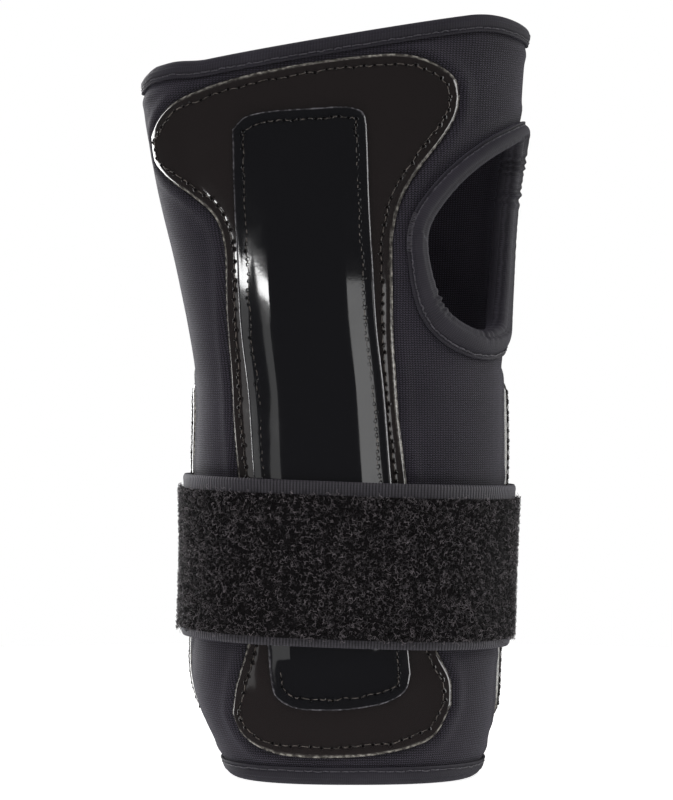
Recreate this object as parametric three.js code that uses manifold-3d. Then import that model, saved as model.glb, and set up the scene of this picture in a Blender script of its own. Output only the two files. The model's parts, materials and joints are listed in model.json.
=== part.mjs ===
// Wrist guard for snowboarding: a right-hand sleeve of neoprene with sewn-on splint plates on
// the palm and on the back, a thumb opening, and one hook-and-loop strap round the wrist.
// Millimetres. +Z runs from the cuff to the fingers, the palm faces -Y and the thumb is at +X.
// The guard stands on the flat underside of its cuff binding.

import * as THREE from "three";
import { mergeVertices } from "three/addons/utils/BufferGeometryUtils.js";
import Module from "manifold-3d";

// ---- Driving dimensions -----------------------------------------------------------------

const CLOTH = 3; // thickness of the neoprene
const PLATE = 1.2; // thickness of every splint plate
const STAY = 1.0; // thickness of the bars between the plates
const BAND = 1.1; // thickness of the strap's knitted band
const PILE = 1.0; // thickness of the loop and hook fabrics
const GAP = 0.3; // space left between neighbouring pieces
const CROWN = 1.4; // how far a cover plate is raised along its middle
const THREAD = 0.3; // thickness of a row of stitches
const STITCH_INSET = 2.8; // distance of the stitches from a plate's edge

const ROUNDNESS = 2.4; // 2 is an ellipse, higher is squarer
const CUFF_EDGE = 0; // height of the cuff's edge
const HAND_EDGE = 190.2; // height of the hand end's edge in the middle of the palm
const HAND_SLOPE = 0.172; // rise of that edge for each millimetre towards the thumb
const HAND_DROP = 4.8; // how far it falls again at the thumb side corner
const BINDING = 4; // height of the folded bindings
const BINDING_CLOTH = 0.7; // thickness of the binding strip

const STRAP_MIDDLE = 55.9; // height of the strap's centre line in the middle of the palm
const STRAP_SLOPE = -0.037; // its rise for each millimetre towards the thumb
const BAND_HEIGHT = 41.4;
const PILE_HEIGHT = 36.8;
const PILE_SHIFT = -0.7; // the pile is sewn a little below the middle of the band

// Outer face of the sleeve at each height: little-finger side, thumb side, palm side, back.
const SECTIONS = [
  [0, -27.8, 34.8, -24.2, 24.2],
  [4, -30.0, 36.8, -24.8, 24.8],
  [9, -32.4, 38.4, -25.1, 25.1],
  [16, -35.5, 39.6, -25.3, 25.3],
  [26, -37.9, 40.2, -25.5, 25.5],
  [42, -37.4, 40.7, -25.5, 25.5],
  [60, -36.9, 41.3, -25.1, 25.1],
  [80, -37.2, 42.3, -24.6, 24.9],
  [100, -37.1, 42.2, -24.3, 24.9],
  [115, -39.2, 42.2, -24.1, 25.0],
  [130, -42.4, 43.8, -23.4, 25.2],
  [145, -45.9, 45.2, -21.9, 25.4],
  [160, -48.9, 46.6, -19.8, 25.5],
  [174, -51.2, 47.6, -17.5, 25.5],
  [184, -50.4, 48.2, -15.8, 25.4],
  [200, -50.2, 49.4, -13.2, 25.2],
];

// Places the middle of the finished guard's bounding box over the origin.
const CENTRE_SHIFT = new THREE.Vector3(0.9, -1.9, 0);

// Turns round the sleeve, in degrees: thumb side 0, palm -90, little-finger side 180, back 90.
const THUMB_SEAM = 13;
const LITTLE_SEAM = 167;
const SEAM_HALF = 2.5; // half of the space between two panels

const STRAP_ANCHOR = 98; // where the strap is sewn to the back
const TAIL_START = -180; // where the strap leaves the guard, at the little-finger side
const TAIL_END = 122; // where the strap's end begins to peel
const HOOK_START = 83;
const HOOK_END = 46;
const TAB_START = 43;
const TAB_END = 33;

// ---- Shape of the sleeve ----------------------------------------------------------------

const { lerp, smoothstep, degToRad, radToDeg, clamp } = THREE.MathUtils;

const sectionCurve = new THREE.CubicInterpolant(
  SECTIONS.map((row) => row[0]),
  SECTIONS.flatMap((row) => row.slice(1)),
  4,
);

function section(z) {
  const [left, right, palm, back] = sectionCurve.evaluate(z);
  return {
    x: (left + right) / 2,
    y: (palm + back) / 2,
    halfWidth: (right - left) / 2,
    halfDepth: (back - palm) / 2,
  };
}

// The point of the sleeve's outer face at a turn and a height, moved outwards by offset.
function onSleeve(turn, z, offset) {
  const at = section(z);
  const cos = Math.cos(degToRad(turn));
  const sin = Math.sin(degToRad(turn));
  const size = (Math.abs(cos) ** ROUNDNESS + Math.abs(sin) ** ROUNDNESS) ** (-1 / ROUNDNESS);
  const normal = new THREE.Vector2(
    (Math.sign(cos) * Math.abs(cos) ** (ROUNDNESS - 1)) / at.halfWidth,
    (Math.sign(sin) * Math.abs(sin) ** (ROUNDNESS - 1)) / at.halfDepth,
  ).normalize();
  const x = at.x + at.halfWidth * size * cos + normal.x * offset;
  const y = at.y + at.halfDepth * size * sin + normal.y * offset;
  return new THREE.Vector3(x, y, z);
}

// Points drawn flat on the palm side, side -1, or on the back, side 1, as x and height, turned
// into points of the sleeve, as a turn and a height.
function wrap(side, pairs) {
  return pairs.map(([x, z]) => {
    const at = section(z);
    const reach = clamp((x - at.x) / at.halfWidth, -0.998, 0.998);
    const depth = (1 - Math.abs(reach) ** ROUNDNESS) ** (1 / ROUNDNESS);
    return [radToDeg(Math.atan2(side * depth, reach)), z];
  });
}

// Height of the hand end's edge at a turn: a slope with both of its corners eased.
function handEdge(turn) {
  const x = onSleeve(turn, HAND_EDGE, 0).x;
  const thumbCorner = -HAND_DROP * (Math.max(0, x - 33) / 16) ** 2;
  const littleCorner = 1.3 * smoothstep(-x, 34, 44) - 1.6 * smoothstep(-x, 47, 51);
  return HAND_EDGE + HAND_SLOPE * x + thumbCorner + littleCorner;
}

// ---- Solids -----------------------------------------------------------------------------

// Merge the seams of a mapped geometry, and turn its faces to point outwards.
function closed(geometry) {
  geometry.deleteAttribute("normal");
  geometry.deleteAttribute("uv");
  const merged = mergeVertices(geometry, 1e-4);
  const position = merged.getAttribute("position");
  const index = merged.getIndex();
  const corners = [new THREE.Vector3(), new THREE.Vector3(), new THREE.Vector3()];
  let volume = 0;
  for (let i = 0; i < index.count; i += 3) {
    corners.forEach((corner, k) => corner.fromBufferAttribute(position, index.getX(i + k)));
    volume += corners[0].dot(corners[1].cross(corners[2]));
  }
  if (volume < 0) {
    index.array.reverse();
  }
  merged.computeVertexNormals();
  return merged;
}

// A sheet with thickness: place(u, v, w) gives each point, with u and v along the sheet and
// w from its inner face, 0, to its outer face, 1.
function sheet(columns, rows, place) {
  const box = new THREE.BoxGeometry(1, 1, 1, columns, rows, 1);
  const position = box.getAttribute("position");
  for (let i = 0; i < position.count; i += 1) {
    const u = position.getX(i) + 0.5;
    const v = position.getY(i) + 0.5;
    const w = position.getZ(i) + 0.5;
    const point = place(u, v, w);
    position.setXYZ(i, point.x, point.y, point.z);
  }
  return closed(box);
}

// A closed ring: place(u, corner) gives each point, with u once round the ring and corner one
// of the section's corners.
function ring(steps, corners, place) {
  const torus = new THREE.TorusGeometry(2, 1, corners.length, steps);
  const position = torus.getAttribute("position");
  const uv = torus.getAttribute("uv");
  for (let i = 0; i < position.count; i += 1) {
    const corner = Math.round(uv.getY(i) * corners.length) % corners.length;
    const point = place(uv.getX(i) % 1, corners[corner]);
    position.setXYZ(i, point.x, point.y, point.z);
  }
  return closed(torus);
}

const wasm = await Module();
wasm.setup();

function toSolid(geometry) {
  const vertProperties = new Float32Array(geometry.getAttribute("position").array);
  const triVerts = new Uint32Array(geometry.getIndex().array);
  return new wasm.Manifold(new wasm.Mesh({ numProp: 3, vertProperties, triVerts }));
}

function cut(geometry, cutter) {
  const mesh = toSolid(geometry).subtract(toSolid(cutter)).getMesh();
  const result = new THREE.BufferGeometry();
  result.setAttribute("position", new THREE.BufferAttribute(mesh.vertProperties, 3));
  result.setIndex(new THREE.BufferAttribute(mesh.triVerts, 1));
  return closed(result);
}

// A smooth curve through points given as pairs.
function curve(pairs, isClosed = false) {
  const points = pairs.map(([a, z]) => new THREE.Vector3(a, z, 0));
  return new THREE.CatmullRomCurve3(points, isClosed, "centripetal");
}

// The point of the sleeve beside a curve of turns and heights, this far out from the curve.
function beside(path, u, distance, offset) {
  const at = path.getPoint(u);
  const run = path.getTangent(u);
  const scale = onSleeve(at.x, at.y, 0).distanceTo(onSleeve(at.x + 1, at.y, 0));
  const away = new THREE.Vector2(run.y, -run.x * scale).normalize();
  return onSleeve(at.x + (away.x * distance) / scale, at.y + away.y * distance, offset);
}

// ---- Assembly ---------------------------------------------------------------------------

const guard = new THREE.Group();

const CLOTH_FINISH = { color: 0x34313a, roughness: 0.9, metalness: 0 };
const BINDING_FINISH = { color: 0x3a373f, roughness: 0.85, metalness: 0 };
const BASE_FINISH = { color: 0x1f1c1b, roughness: 0.18, metalness: 0 };
const COVER_FINISH = { color: 0x141417, roughness: 0.15, metalness: 0 };
const STAY_FINISH = { color: 0x8f9296, roughness: 0.4, metalness: 1 };
const THREAD_FINISH = { color: 0x4a4644, roughness: 0.8, metalness: 0 };
const BAND_FINISH = { color: 0x403d43, roughness: 0.9, metalness: 0 };
const PILE_FINISH = { color: 0x1d1b1d, roughness: 1, metalness: 0 };
const HOOK_FINISH = { color: 0x161517, roughness: 0.6, metalness: 0 };

function add(name, geometry, finish) {
  const mesh = new THREE.Mesh(geometry, new THREE.MeshStandardMaterial(finish));
  mesh.name = name;
  guard.add(mesh);
}

// ---- Sleeve -----------------------------------------------------------------------------

// Clear edge of the thumb opening, as turns and heights, from its top towards the palm.
const thumbEdge = curve(
  [
    [-4, 163.6],
    [-28, 161.4],
    [-44, 155.8],
    [-55, 147.8],
    [-61, 139.5],
    [-60, 130],
    [-54, 120.5],
    [-41, 115.4],
    [-24, 115.4],
    [-5, 119.5],
    [5, 127.5],
    [9, 138],
    [9, 150],
    [4, 159],
  ],
  true,
);
const THUMB_CENTRE = [-27, 139];
const CUT_BACK = 1.2; // how far the cloth stops short of the binding's rolled edge

const thumbCutter = sheet(20, 20, (u, v, w) => {
  const offset = lerp(-8, 8, w);
  const around = (Math.atan2(v - 0.5, u - 0.5) / (2 * Math.PI) + 1) % 1;
  const out = Math.max(Math.abs(u - 0.5), Math.abs(v - 0.5)) * 2;
  const edge = beside(thumbEdge, around, CUT_BACK, offset);
  return onSleeve(...THUMB_CENTRE, offset).lerp(edge, out);
});

// A panel of the sleeve between two turns, from binding to binding. Its rows are closer at the
// cuff, where the sleeve narrows quickly.
function panel(columns, rows, from, to) {
  return sheet(columns, rows, (u, v, w) => {
    const turn = lerp(from, to, u);
    const low = CUFF_EDGE + BINDING_CLOTH + GAP;
    const high = handEdge(turn) - BINDING_CLOTH - GAP;
    return onSleeve(turn, lerp(low, high, v ** 1.3), lerp(-CLOTH, 0, w));
  });
}

const palmPanel = panel(26, 22, LITTLE_SEAM + SEAM_HALF - 360, THUMB_SEAM - SEAM_HALF);
const backPanel = panel(20, 18, THUMB_SEAM + SEAM_HALF, LITTLE_SEAM - SEAM_HALF);
add("palm_panel", cut(palmPanel, thumbCutter), CLOTH_FINISH);
add("back_panel", cut(backPanel, thumbCutter), CLOTH_FINISH);

// An overlocked seam: a cord of thread between two panel edges, proud on the inside.
function addSeam(name, turn, low, high) {
  const geometry = sheet(1, Math.ceil((high - low) / 12), (u, v, w) => {
    const across = turn + (u - 0.5) * SEAM_HALF;
    return onSleeve(across, lerp(low, high, v), lerp(-CLOTH - 0.8, 0, w));
  });
  add(name, geometry, THREAD_FINISH);
}

const SEAM_LOW = CUFF_EDGE + BINDING + 1;
addSeam("little_finger_seam", LITTLE_SEAM, SEAM_LOW, handEdge(LITTLE_SEAM) - BINDING - 1);
addSeam("thumb_seam_lower", THUMB_SEAM, SEAM_LOW, 117);
addSeam("thumb_seam_upper", THUMB_SEAM, 170, handEdge(THUMB_SEAM) - BINDING - 1);

// Section of a folded binding: how far in from the edge, and the offset from the outer face.
function foldedSection(outerLeg, innerLeg, space) {
  const outside = space + BINDING_CLOTH;
  const inside = -CLOTH - space - BINDING_CLOTH;
  return [
    [outerLeg, outside],
    [0.5, outside],
    [0, outside - 0.6],
    [0, inside + 0.6],
    [0.5, inside],
    [innerLeg, inside],
    [innerLeg, inside + BINDING_CLOTH],
    [BINDING_CLOTH, inside + BINDING_CLOTH],
    [BINDING_CLOTH, space],
    [outerLeg, space],
  ];
}

const hemSection = foldedSection(BINDING, BINDING - 0.4, GAP);
const handBinding = ring(52, hemSection, (u, [inwards, offset]) => {
  return onSleeve(u * 360, handEdge(u * 360) - inwards, offset);
});
const cuffBinding = ring(52, hemSection, (u, [inwards, offset]) => {
  return onSleeve(u * 360, CUFF_EDGE + inwards, offset);
});
const thumbBinding = ring(44, foldedSection(6.4, 4, 2 * GAP), (u, [inwards, offset]) => {
  return beside(thumbEdge, u, inwards, offset);
});
add("hand_binding", handBinding, BINDING_FINISH);
add("cuff_binding", cuffBinding, BINDING_FINISH);
add("thumb_binding", thumbBinding, BINDING_FINISH);

// ---- Splint plates ----------------------------------------------------------------------

// A plate's outline: four edges that meet at its corners, and a loop through them all.
function outline(...edges) {
  const [bottom, right, top, left] = edges.map((pairs) => curve(pairs));
  const loop = new THREE.CurvePath();
  loop.add(bottom);
  loop.add(right);
  loop.add(curve(edges[2].toReversed()));
  loop.add(curve(edges[3].toReversed()));
  return { bottom, right, top, left, loop };
}

// The point inside an outline at u from left to right and v from bottom to top.
function within(shape, u, v) {
  const low = shape.bottom.getPointAt(u);
  const high = shape.top.getPointAt(u);
  const left = shape.left.getPointAt(v);
  const right = shape.right.getPointAt(v);
  const corners = shape.bottom.getPointAt(0).lerp(shape.bottom.getPointAt(1), u);
  corners.lerp(shape.top.getPointAt(0).lerp(shape.top.getPointAt(1), u), v);
  return low.lerp(high, v).add(left.lerp(right, u)).sub(corners);
}

function plate(columns, rows, shape, seat, thickness) {
  return sheet(columns, rows, (u, v, w) => {
    const at = within(shape, u, v);
    return onSleeve(at.x, at.y, seat(u, v) + thickness * w);
  });
}

// A row of stitches beside a curve, lying at an offset from the sleeve.
function stitches(steps, path, inset, offset) {
  const corners = [[0, 0], [THREAD, 0], [THREAD / 2, THREAD]];
  return ring(steps, corners, (u, [across, up]) => {
    return beside(path, u, -inset - across, offset + up);
  });
}

const BASE_SEAT = GAP;
const COVER_SEAT = BASE_SEAT + PLATE + GAP;

// A base plate, the bar over it, and the cover plate that is heat-formed over the bar. The
// cover is given with its middle width and its height.
function addSplint(side, base, grid, cover, width, height) {
  const crown = (u, v) => {
    const fromSide = Math.min(u, 1 - u) * width;
    const fromEnd = Math.min(v, 1 - v) * height;
    return CROWN * smoothstep(fromSide, 4.6, 9) * smoothstep(fromEnd, 6.2, 12);
  };
  const coverRows = Math.ceil(height / 6);
  const stay = sheet(3, coverRows, (u, v, w) => {
    const fromSide = 0.27 + 0.06 * smoothstep(Math.abs(v - 0.5), 0.46, 0.5);
    const fromEnd = 13 / height;
    const at = within(cover, lerp(fromSide, 1 - fromSide, u), lerp(fromEnd, 1 - fromEnd, v));
    return onSleeve(at.x, at.y, COVER_SEAT + STAY * w);
  });
  const baseTop = BASE_SEAT + PLATE + GAP;
  const coverTop = COVER_SEAT + PLATE + 2 * GAP;
  const coverPlate = plate(10, coverRows, cover, (u, v) => COVER_SEAT + crown(u, v), PLATE);
  add(`${side}_base_plate`, plate(...grid, base, () => BASE_SEAT, PLATE), BASE_FINISH);
  add(`${side}_stay`, stay, STAY_FINISH);
  add(`${side}_cover_plate`, coverPlate, COVER_FINISH);
  add(`${side}_base_stitching`, stitches(80, base.loop, STITCH_INSET, baseTop), THREAD_FINISH);
  add(`${side}_cover_stitching`, stitches(60, cover.loop, STITCH_INSET, coverTop), THREAD_FINISH);
}

// The hourglass plate of the palm, as x and height: a wide lobe across the palm, a waist at the
// wrist, and a lobe at the cuff.
const PALM_BASE = [
  [[-27.1, 17.5], [-24.6, 12.3], [-18, 8.3], [0, 7.1], [16.5, 9.2], [24, 12.6], [28, 20]],
  [
    [28, 20], [27.9, 26], [24.6, 33.2], [19.8, 47], [16.8, 75.4], [14.5, 95.7], [13.3, 118],
    [13.2, 137], [15.6, 147.8], [20.2, 155.8], [27.1, 165], [29.8, 170.4], [30.4, 174.5],
  ],
  [
    [-48.2, 165], [-44.1, 172], [-37, 175.8], [-19.5, 180.7], [4.8, 184.5], [17.5, 185],
    [25.6, 182.2], [29.6, 178.6], [30.4, 174.5],
  ],
  [
    [-27.1, 17.5], [-26.4, 23.4], [-23.2, 35.3], [-22.8, 50], [-25.4, 76.4], [-27.1, 96],
    [-28.6, 118], [-29.4, 137], [-31.7, 143.4], [-37.2, 148.7], [-44.7, 154.7],
    [-47.4, 159], [-48.2, 165],
  ],
];
const PALM_COVER = [
  [
    [-16.8, 27], [-15.8, 22.8], [-11.8, 20], [-2.5, 19.2], [5, 19.8], [12.2, 21.5],
    [16.2, 24.4], [17.2, 28.5],
  ],
  [[17.2, 28.5], [12.7, 75.5], [9, 116.3], [7.5, 141.8], [6.6, 166.8]],
  [[-26.8, 165.5], [-23.5, 168.8], [-6, 170.9], [3, 171], [5.8, 169.7], [6.6, 166.8]],
  [[-16.8, 27], [-20.8, 76.5], [-23.8, 111.3], [-25.7, 140], [-26.8, 165.5]],
];

// The shorter plate of the back, as turns and heights: it wraps to both sides of the wrist. Its
// cover is given as x and height.
const BACK_BASE = [
  [[-3, 22], [0, 16.5], [9, 14.2], [50, 14.2], [130, 14.2], [165, 14.2], [172, 16.5], [175, 22]],
  [[175, 22], [181, 60], [183, 94]],
  [
    [-3, 94], [0, 99.8], [9, 102.2], [60, 104.5], [90, 105], [120, 104.5], [171, 102.2],
    [180, 99.8], [183, 94],
  ],
  [[-3, 22], [-4, 60], [-3, 94]],
];
const BACK_COVER = [
  [[18.5, 26], [17.2, 22.6], [13, 20.6], [2, 20], [-9, 20.6], [-13.2, 22.6], [-14.5, 26]],
  [[-14.5, 26], [-15.6, 60], [-16.5, 92]],
  [[20.5, 92], [17.5, 96.4], [11, 98.4], [2, 99], [-7, 98.4], [-13.5, 96.4], [-16.5, 92]],
  [[18.5, 26], [19.6, 60], [20.5, 92]],
];

const palmBase = outline(...PALM_BASE.map((edge) => wrap(-1, edge)));
const palmCover = outline(...PALM_COVER.map((edge) => wrap(-1, edge)));
const backBase = outline(...BACK_BASE);
const backCover = outline(...BACK_COVER.map((edge) => wrap(1, edge)));
addSplint("palm", palmBase, [13, 30], palmCover, 34, 148);
addSplint("back", backBase, [26, 9], backCover, 34, 76);

// ---- Strap ------------------------------------------------------------------------------

// Offset of the strap's inner face at a turn, where it bridges the plates.
function strapSeat(turn) {
  const fromMiddle = Math.abs(Math.abs(turn) - 90);
  const rise = PLATE + CROWN;
  return PLATE + 3 * GAP + THREAD + rise * (1 - smoothstep(fromMiddle, 26, 66));
}

// How far the strap's end is lifted to lie on the part of the strap that is sewn down.
const HOOK_SEAT = BAND + PILE + 2 * GAP;
const OVERLAP = HOOK_SEAT + PILE + GAP;
const lift = (turn) => OVERLAP * (1 - smoothstep(turn, STRAP_ANCHOR + 3, TAIL_END - 1));

function strapPiece(from, to, height, shift, seat, thickness) {
  const columns = Math.ceil(Math.abs(to - from) / 8);
  return sheet(columns, 3, (u, v, w) => {
    const turn = lerp(from, to, u);
    const middle = STRAP_MIDDLE + STRAP_SLOPE * onSleeve(turn, STRAP_MIDDLE, 0).x + shift;
    return onSleeve(turn, middle + (v - 0.5) * height, seat(turn) + thickness * w);
  });
}

const PILE_SEAT = BAND + GAP;
const JOINT = 0.35; // degrees left clear on each side of a fold in the strap
const endSeat = (turn) => strapSeat(turn) + lift(turn);

const layers = [
  ["band", BAND_HEIGHT, 0, 0, BAND, BAND_FINISH],
  ["pile", PILE_HEIGHT, PILE_SHIFT, PILE_SEAT, PILE, PILE_FINISH],
];
for (const [name, height, shift, above, thickness, finish] of layers) {
  const stretch = (from, to, seat) => {
    return strapPiece(from, to, height, shift, (turn) => seat(turn) + above, thickness);
  };
  const last = name === "band" ? TAB_START + JOINT : HOOK_END;
  add(`strap_front_${name}`, stretch(STRAP_ANCHOR, TAIL_START + JOINT, strapSeat), finish);
  add(`strap_tail_${name}`, stretch(TAIL_START + 360 - JOINT, TAIL_END + JOINT, strapSeat), finish);
  add(`strap_end_${name}`, stretch(TAIL_END - JOINT, last, endSeat), finish);
}

const hookSeat = (turn) => strapSeat(turn) + HOOK_SEAT;
const hookPatch = strapPiece(HOOK_START, HOOK_END, PILE_HEIGHT, 0, hookSeat, PILE);
const fingerTab = strapPiece(TAB_START - JOINT, TAB_END, BAND_HEIGHT - 2, 0, endSeat, BAND);
add("hook_patch", hookPatch, HOOK_FINISH);
add("finger_tab", fingerTab, BAND_FINISH);

// The box of stitches that holds the strap's first end to the back plate.
const anchorBox = curve([[86, 40], [95, 40], [95, 72], [86, 72]], true);
const anchorTop = strapSeat(90) + PILE_SEAT + PILE + GAP / 2;
add("strap_anchor_stitching", stitches(24, anchorBox, 0, anchorTop), THREAD_FINISH);

guard.position.copy(CENTRE_SHIFT);

export default guard;
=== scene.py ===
"""The finished look of a snowboarder's wrist guard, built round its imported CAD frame.

Lengths are in millimetres on the drafting axis of the sleeve until to_frame() takes them
into the frame, which is in metres. Turns are in degrees round the sleeve: thumb side 0,
palm -90, little-finger side 180 and back 90.
"""

import json
import math

import bpy
import numpy as np
from bpy.props import FloatProperty, FloatVectorProperty, IntProperty, PointerProperty
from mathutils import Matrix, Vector
from mathutils.kdtree import KDTree

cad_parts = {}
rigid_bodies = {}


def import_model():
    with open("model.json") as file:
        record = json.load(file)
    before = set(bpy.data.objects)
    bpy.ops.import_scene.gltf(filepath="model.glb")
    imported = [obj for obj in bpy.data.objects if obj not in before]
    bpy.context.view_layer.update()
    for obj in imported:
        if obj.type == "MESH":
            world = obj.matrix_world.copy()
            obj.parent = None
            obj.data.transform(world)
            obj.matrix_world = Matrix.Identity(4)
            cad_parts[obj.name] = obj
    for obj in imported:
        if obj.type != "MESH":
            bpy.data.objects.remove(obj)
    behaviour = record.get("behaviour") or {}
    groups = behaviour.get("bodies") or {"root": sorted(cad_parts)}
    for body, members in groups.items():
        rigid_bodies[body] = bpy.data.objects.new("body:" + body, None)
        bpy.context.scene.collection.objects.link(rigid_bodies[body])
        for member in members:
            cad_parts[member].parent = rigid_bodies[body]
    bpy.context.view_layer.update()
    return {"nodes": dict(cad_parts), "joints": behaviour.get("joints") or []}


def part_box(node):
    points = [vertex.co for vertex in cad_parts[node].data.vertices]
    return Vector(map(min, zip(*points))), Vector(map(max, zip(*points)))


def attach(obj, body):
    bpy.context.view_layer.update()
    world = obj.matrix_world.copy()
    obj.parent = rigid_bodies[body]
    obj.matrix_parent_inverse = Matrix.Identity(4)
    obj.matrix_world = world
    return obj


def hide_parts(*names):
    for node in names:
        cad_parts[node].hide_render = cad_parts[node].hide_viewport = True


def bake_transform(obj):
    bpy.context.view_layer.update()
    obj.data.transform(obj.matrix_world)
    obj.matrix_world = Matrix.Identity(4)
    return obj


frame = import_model()

bl_info = {
    "name": "Wrist guard",
    "version": (1, 0, 0),
    "blender": (4, 5, 0),
    "location": "View3D > Sidebar > Wrist guard",
    "description": "Builds a neoprene wrist guard with sewn splint plates and a strap",
    "category": "Object",
}

# ---- Pattern, in millimetres -------------------------------------------------------------

MM = 0.001
CENTRE_SHIFT = np.array([0.9, -1.9, 0.0])  # from the drafting axis to the frame's origin

CLOTH = 3.0  # thickness of the neoprene
PLATE = 1.2  # thickness of every splint plate
BAND = 1.1  # thickness of the strap's elastic
PILE = 1.0  # thickness of the loop and hook tapes
GAP = 0.3  # space left between neighbouring pieces
CROWN = 1.4  # how far a cover plate is raised along its middle
THREAD = 0.3  # height of a row of stitches
STITCH_INSET = 2.8  # distance of the stitches from a plate's edge
BASE_SEAT = GAP
COVER_SEAT = BASE_SEAT + PLATE + GAP

ROUNDNESS = 2.4  # 2 is an ellipse, higher is squarer
HAND_EDGE = 190.2  # height of the hand end's edge on the drafting axis
HAND_SLOPE = 0.172  # rise of that edge for each millimetre towards the thumb
HAND_DROP = 4.8  # how far it falls again at the thumb side corner
PANEL_INSET = 1.0  # the cloth stops this far inside a binding's rolled edge

STRAP_MIDDLE = 55.9  # height of the strap's middle line on the drafting axis
STRAP_SLOPE = -0.037  # its rise for each millimetre towards the thumb
BAND_HEIGHT = 41.4
PILE_HEIGHT = 36.8
PILE_SHIFT = -0.7  # the pile is sewn a little below the middle of the band

THUMB_SEAM = 13
LITTLE_SEAM = 167
STRAP_ANCHOR = 98  # where the strap is sewn to the back
TAIL_START = -180  # where the strap leaves the guard, at the little-finger side
TAIL_END = 122  # where the strap's end begins to peel
HOOK_START, HOOK_END = 83, 46
TAB_START, TAB_END = 43, 33

# Outer face of the sleeve: height, little-finger side, thumb side, palm side, back.
SECTIONS = np.array([
    [0, -27.8, 34.8, -24.2, 24.2], [4, -30.0, 36.8, -24.8, 24.8],
    [9, -32.4, 38.4, -25.1, 25.1], [16, -35.5, 39.6, -25.3, 25.3],
    [26, -37.9, 40.2, -25.5, 25.5], [42, -37.4, 40.7, -25.5, 25.5],
    [60, -36.9, 41.3, -25.1, 25.1], [80, -37.2, 42.3, -24.6, 24.9],
    [100, -37.1, 42.2, -24.3, 24.9], [115, -39.2, 42.2, -24.1, 25.0],
    [130, -42.4, 43.8, -23.4, 25.2], [145, -45.9, 45.2, -21.9, 25.4],
    [160, -48.9, 46.6, -19.8, 25.5], [174, -51.2, 47.6, -17.5, 25.5],
    [184, -50.4, 48.2, -15.8, 25.4], [200, -50.2, 49.4, -13.2, 25.2],
])

# Clear edge of the thumb opening, as turns and heights, from its top towards the palm.
THUMB_EDGE = [
    [-4, 163.6], [-28, 161.4], [-44, 155.8], [-55, 147.8], [-61, 139.5], [-60, 130],
    [-54, 120.5], [-41, 115.4], [-24, 115.4], [-5, 119.5], [5, 127.5], [9, 138], [9, 150],
    [4, 159],
]
CUT_BACK = 1.2  # how far the cloth stops short of the binding's rolled edge

# Plates as four edges each: bottom, right, top and left. The palm's and the back cover are
# x and height, and the back base is turns and heights.
PALM_BASE = [
    [[-27.1, 17.5], [-24.6, 12.3], [-18, 8.3], [0, 7.1], [16.5, 9.2], [24, 12.6], [28, 20]],
    [[28, 20], [27.9, 26], [24.6, 33.2], [19.8, 47], [16.8, 75.4], [14.5, 95.7], [13.3, 118],
     [13.2, 137], [15.6, 147.8], [20.2, 155.8], [27.1, 165], [29.8, 170.4], [30.4, 174.5]],
    [[-48.2, 165], [-44.1, 172], [-37, 175.8], [-19.5, 180.7], [4.8, 184.5], [17.5, 185],
     [25.6, 182.2], [29.6, 178.6], [30.4, 174.5]],
    [[-27.1, 17.5], [-26.4, 23.4], [-23.2, 35.3], [-22.8, 50], [-25.4, 76.4], [-27.1, 96],
     [-28.6, 118], [-29.4, 137], [-31.7, 143.4], [-37.2, 148.7], [-44.7, 154.7],
     [-47.4, 159], [-48.2, 165]],
]
PALM_COVER = [
    [[-16.8, 27], [-15.8, 22.8], [-11.8, 20], [-2.5, 19.2], [5, 19.8], [12.2, 21.5],
     [16.2, 24.4], [17.2, 28.5]],
    [[17.2, 28.5], [12.7, 75.5], [9, 116.3], [7.5, 141.8], [6.6, 166.8]],
    [[-26.8, 165.5], [-23.5, 168.8], [-6, 170.9], [3, 171], [5.8, 169.7], [6.6, 166.8]],
    [[-16.8, 27], [-20.8, 76.5], [-23.8, 111.3], [-25.7, 140], [-26.8, 165.5]],
]
BACK_BASE = [
    [[-3, 22], [0, 16.5], [9, 14.2], [50, 14.2], [130, 14.2], [165, 14.2], [172, 16.5],
     [175, 22]],
    [[175, 22], [181, 60], [183, 94]],
    [[-3, 94], [0, 99.8], [9, 102.2], [60, 104.5], [90, 105], [120, 104.5], [171, 102.2],
     [180, 99.8], [183, 94]],
    [[-3, 22], [-4, 60], [-3, 94]],
]
BACK_COVER = [
    [[18.5, 26], [17.2, 22.6], [13, 20.6], [2, 20], [-9, 20.6], [-13.2, 22.6], [-14.5, 26]],
    [[-14.5, 26], [-15.6, 60], [-16.5, 92]],
    [[20.5, 92], [17.5, 96.4], [11, 98.4], [2, 99], [-7, 98.4], [-13.5, 96.4], [-16.5, 92]],
    [[18.5, 26], [19.6, 60], [20.5, 92]],
]


# ---- Shape of the sleeve ------------------------------------------------------------------

def smoothstep(value, low, high):
    """0 below low, 1 above high, and an eased rise between them."""
    t = np.clip((value - low) / (high - low), 0, 1)
    return t * t * (3 - 2 * t)


def bell(value, middle, width):
    """A smooth bump of height 1 round the middle."""
    return np.exp(-(((value - middle) / width) ** 2))


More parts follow.
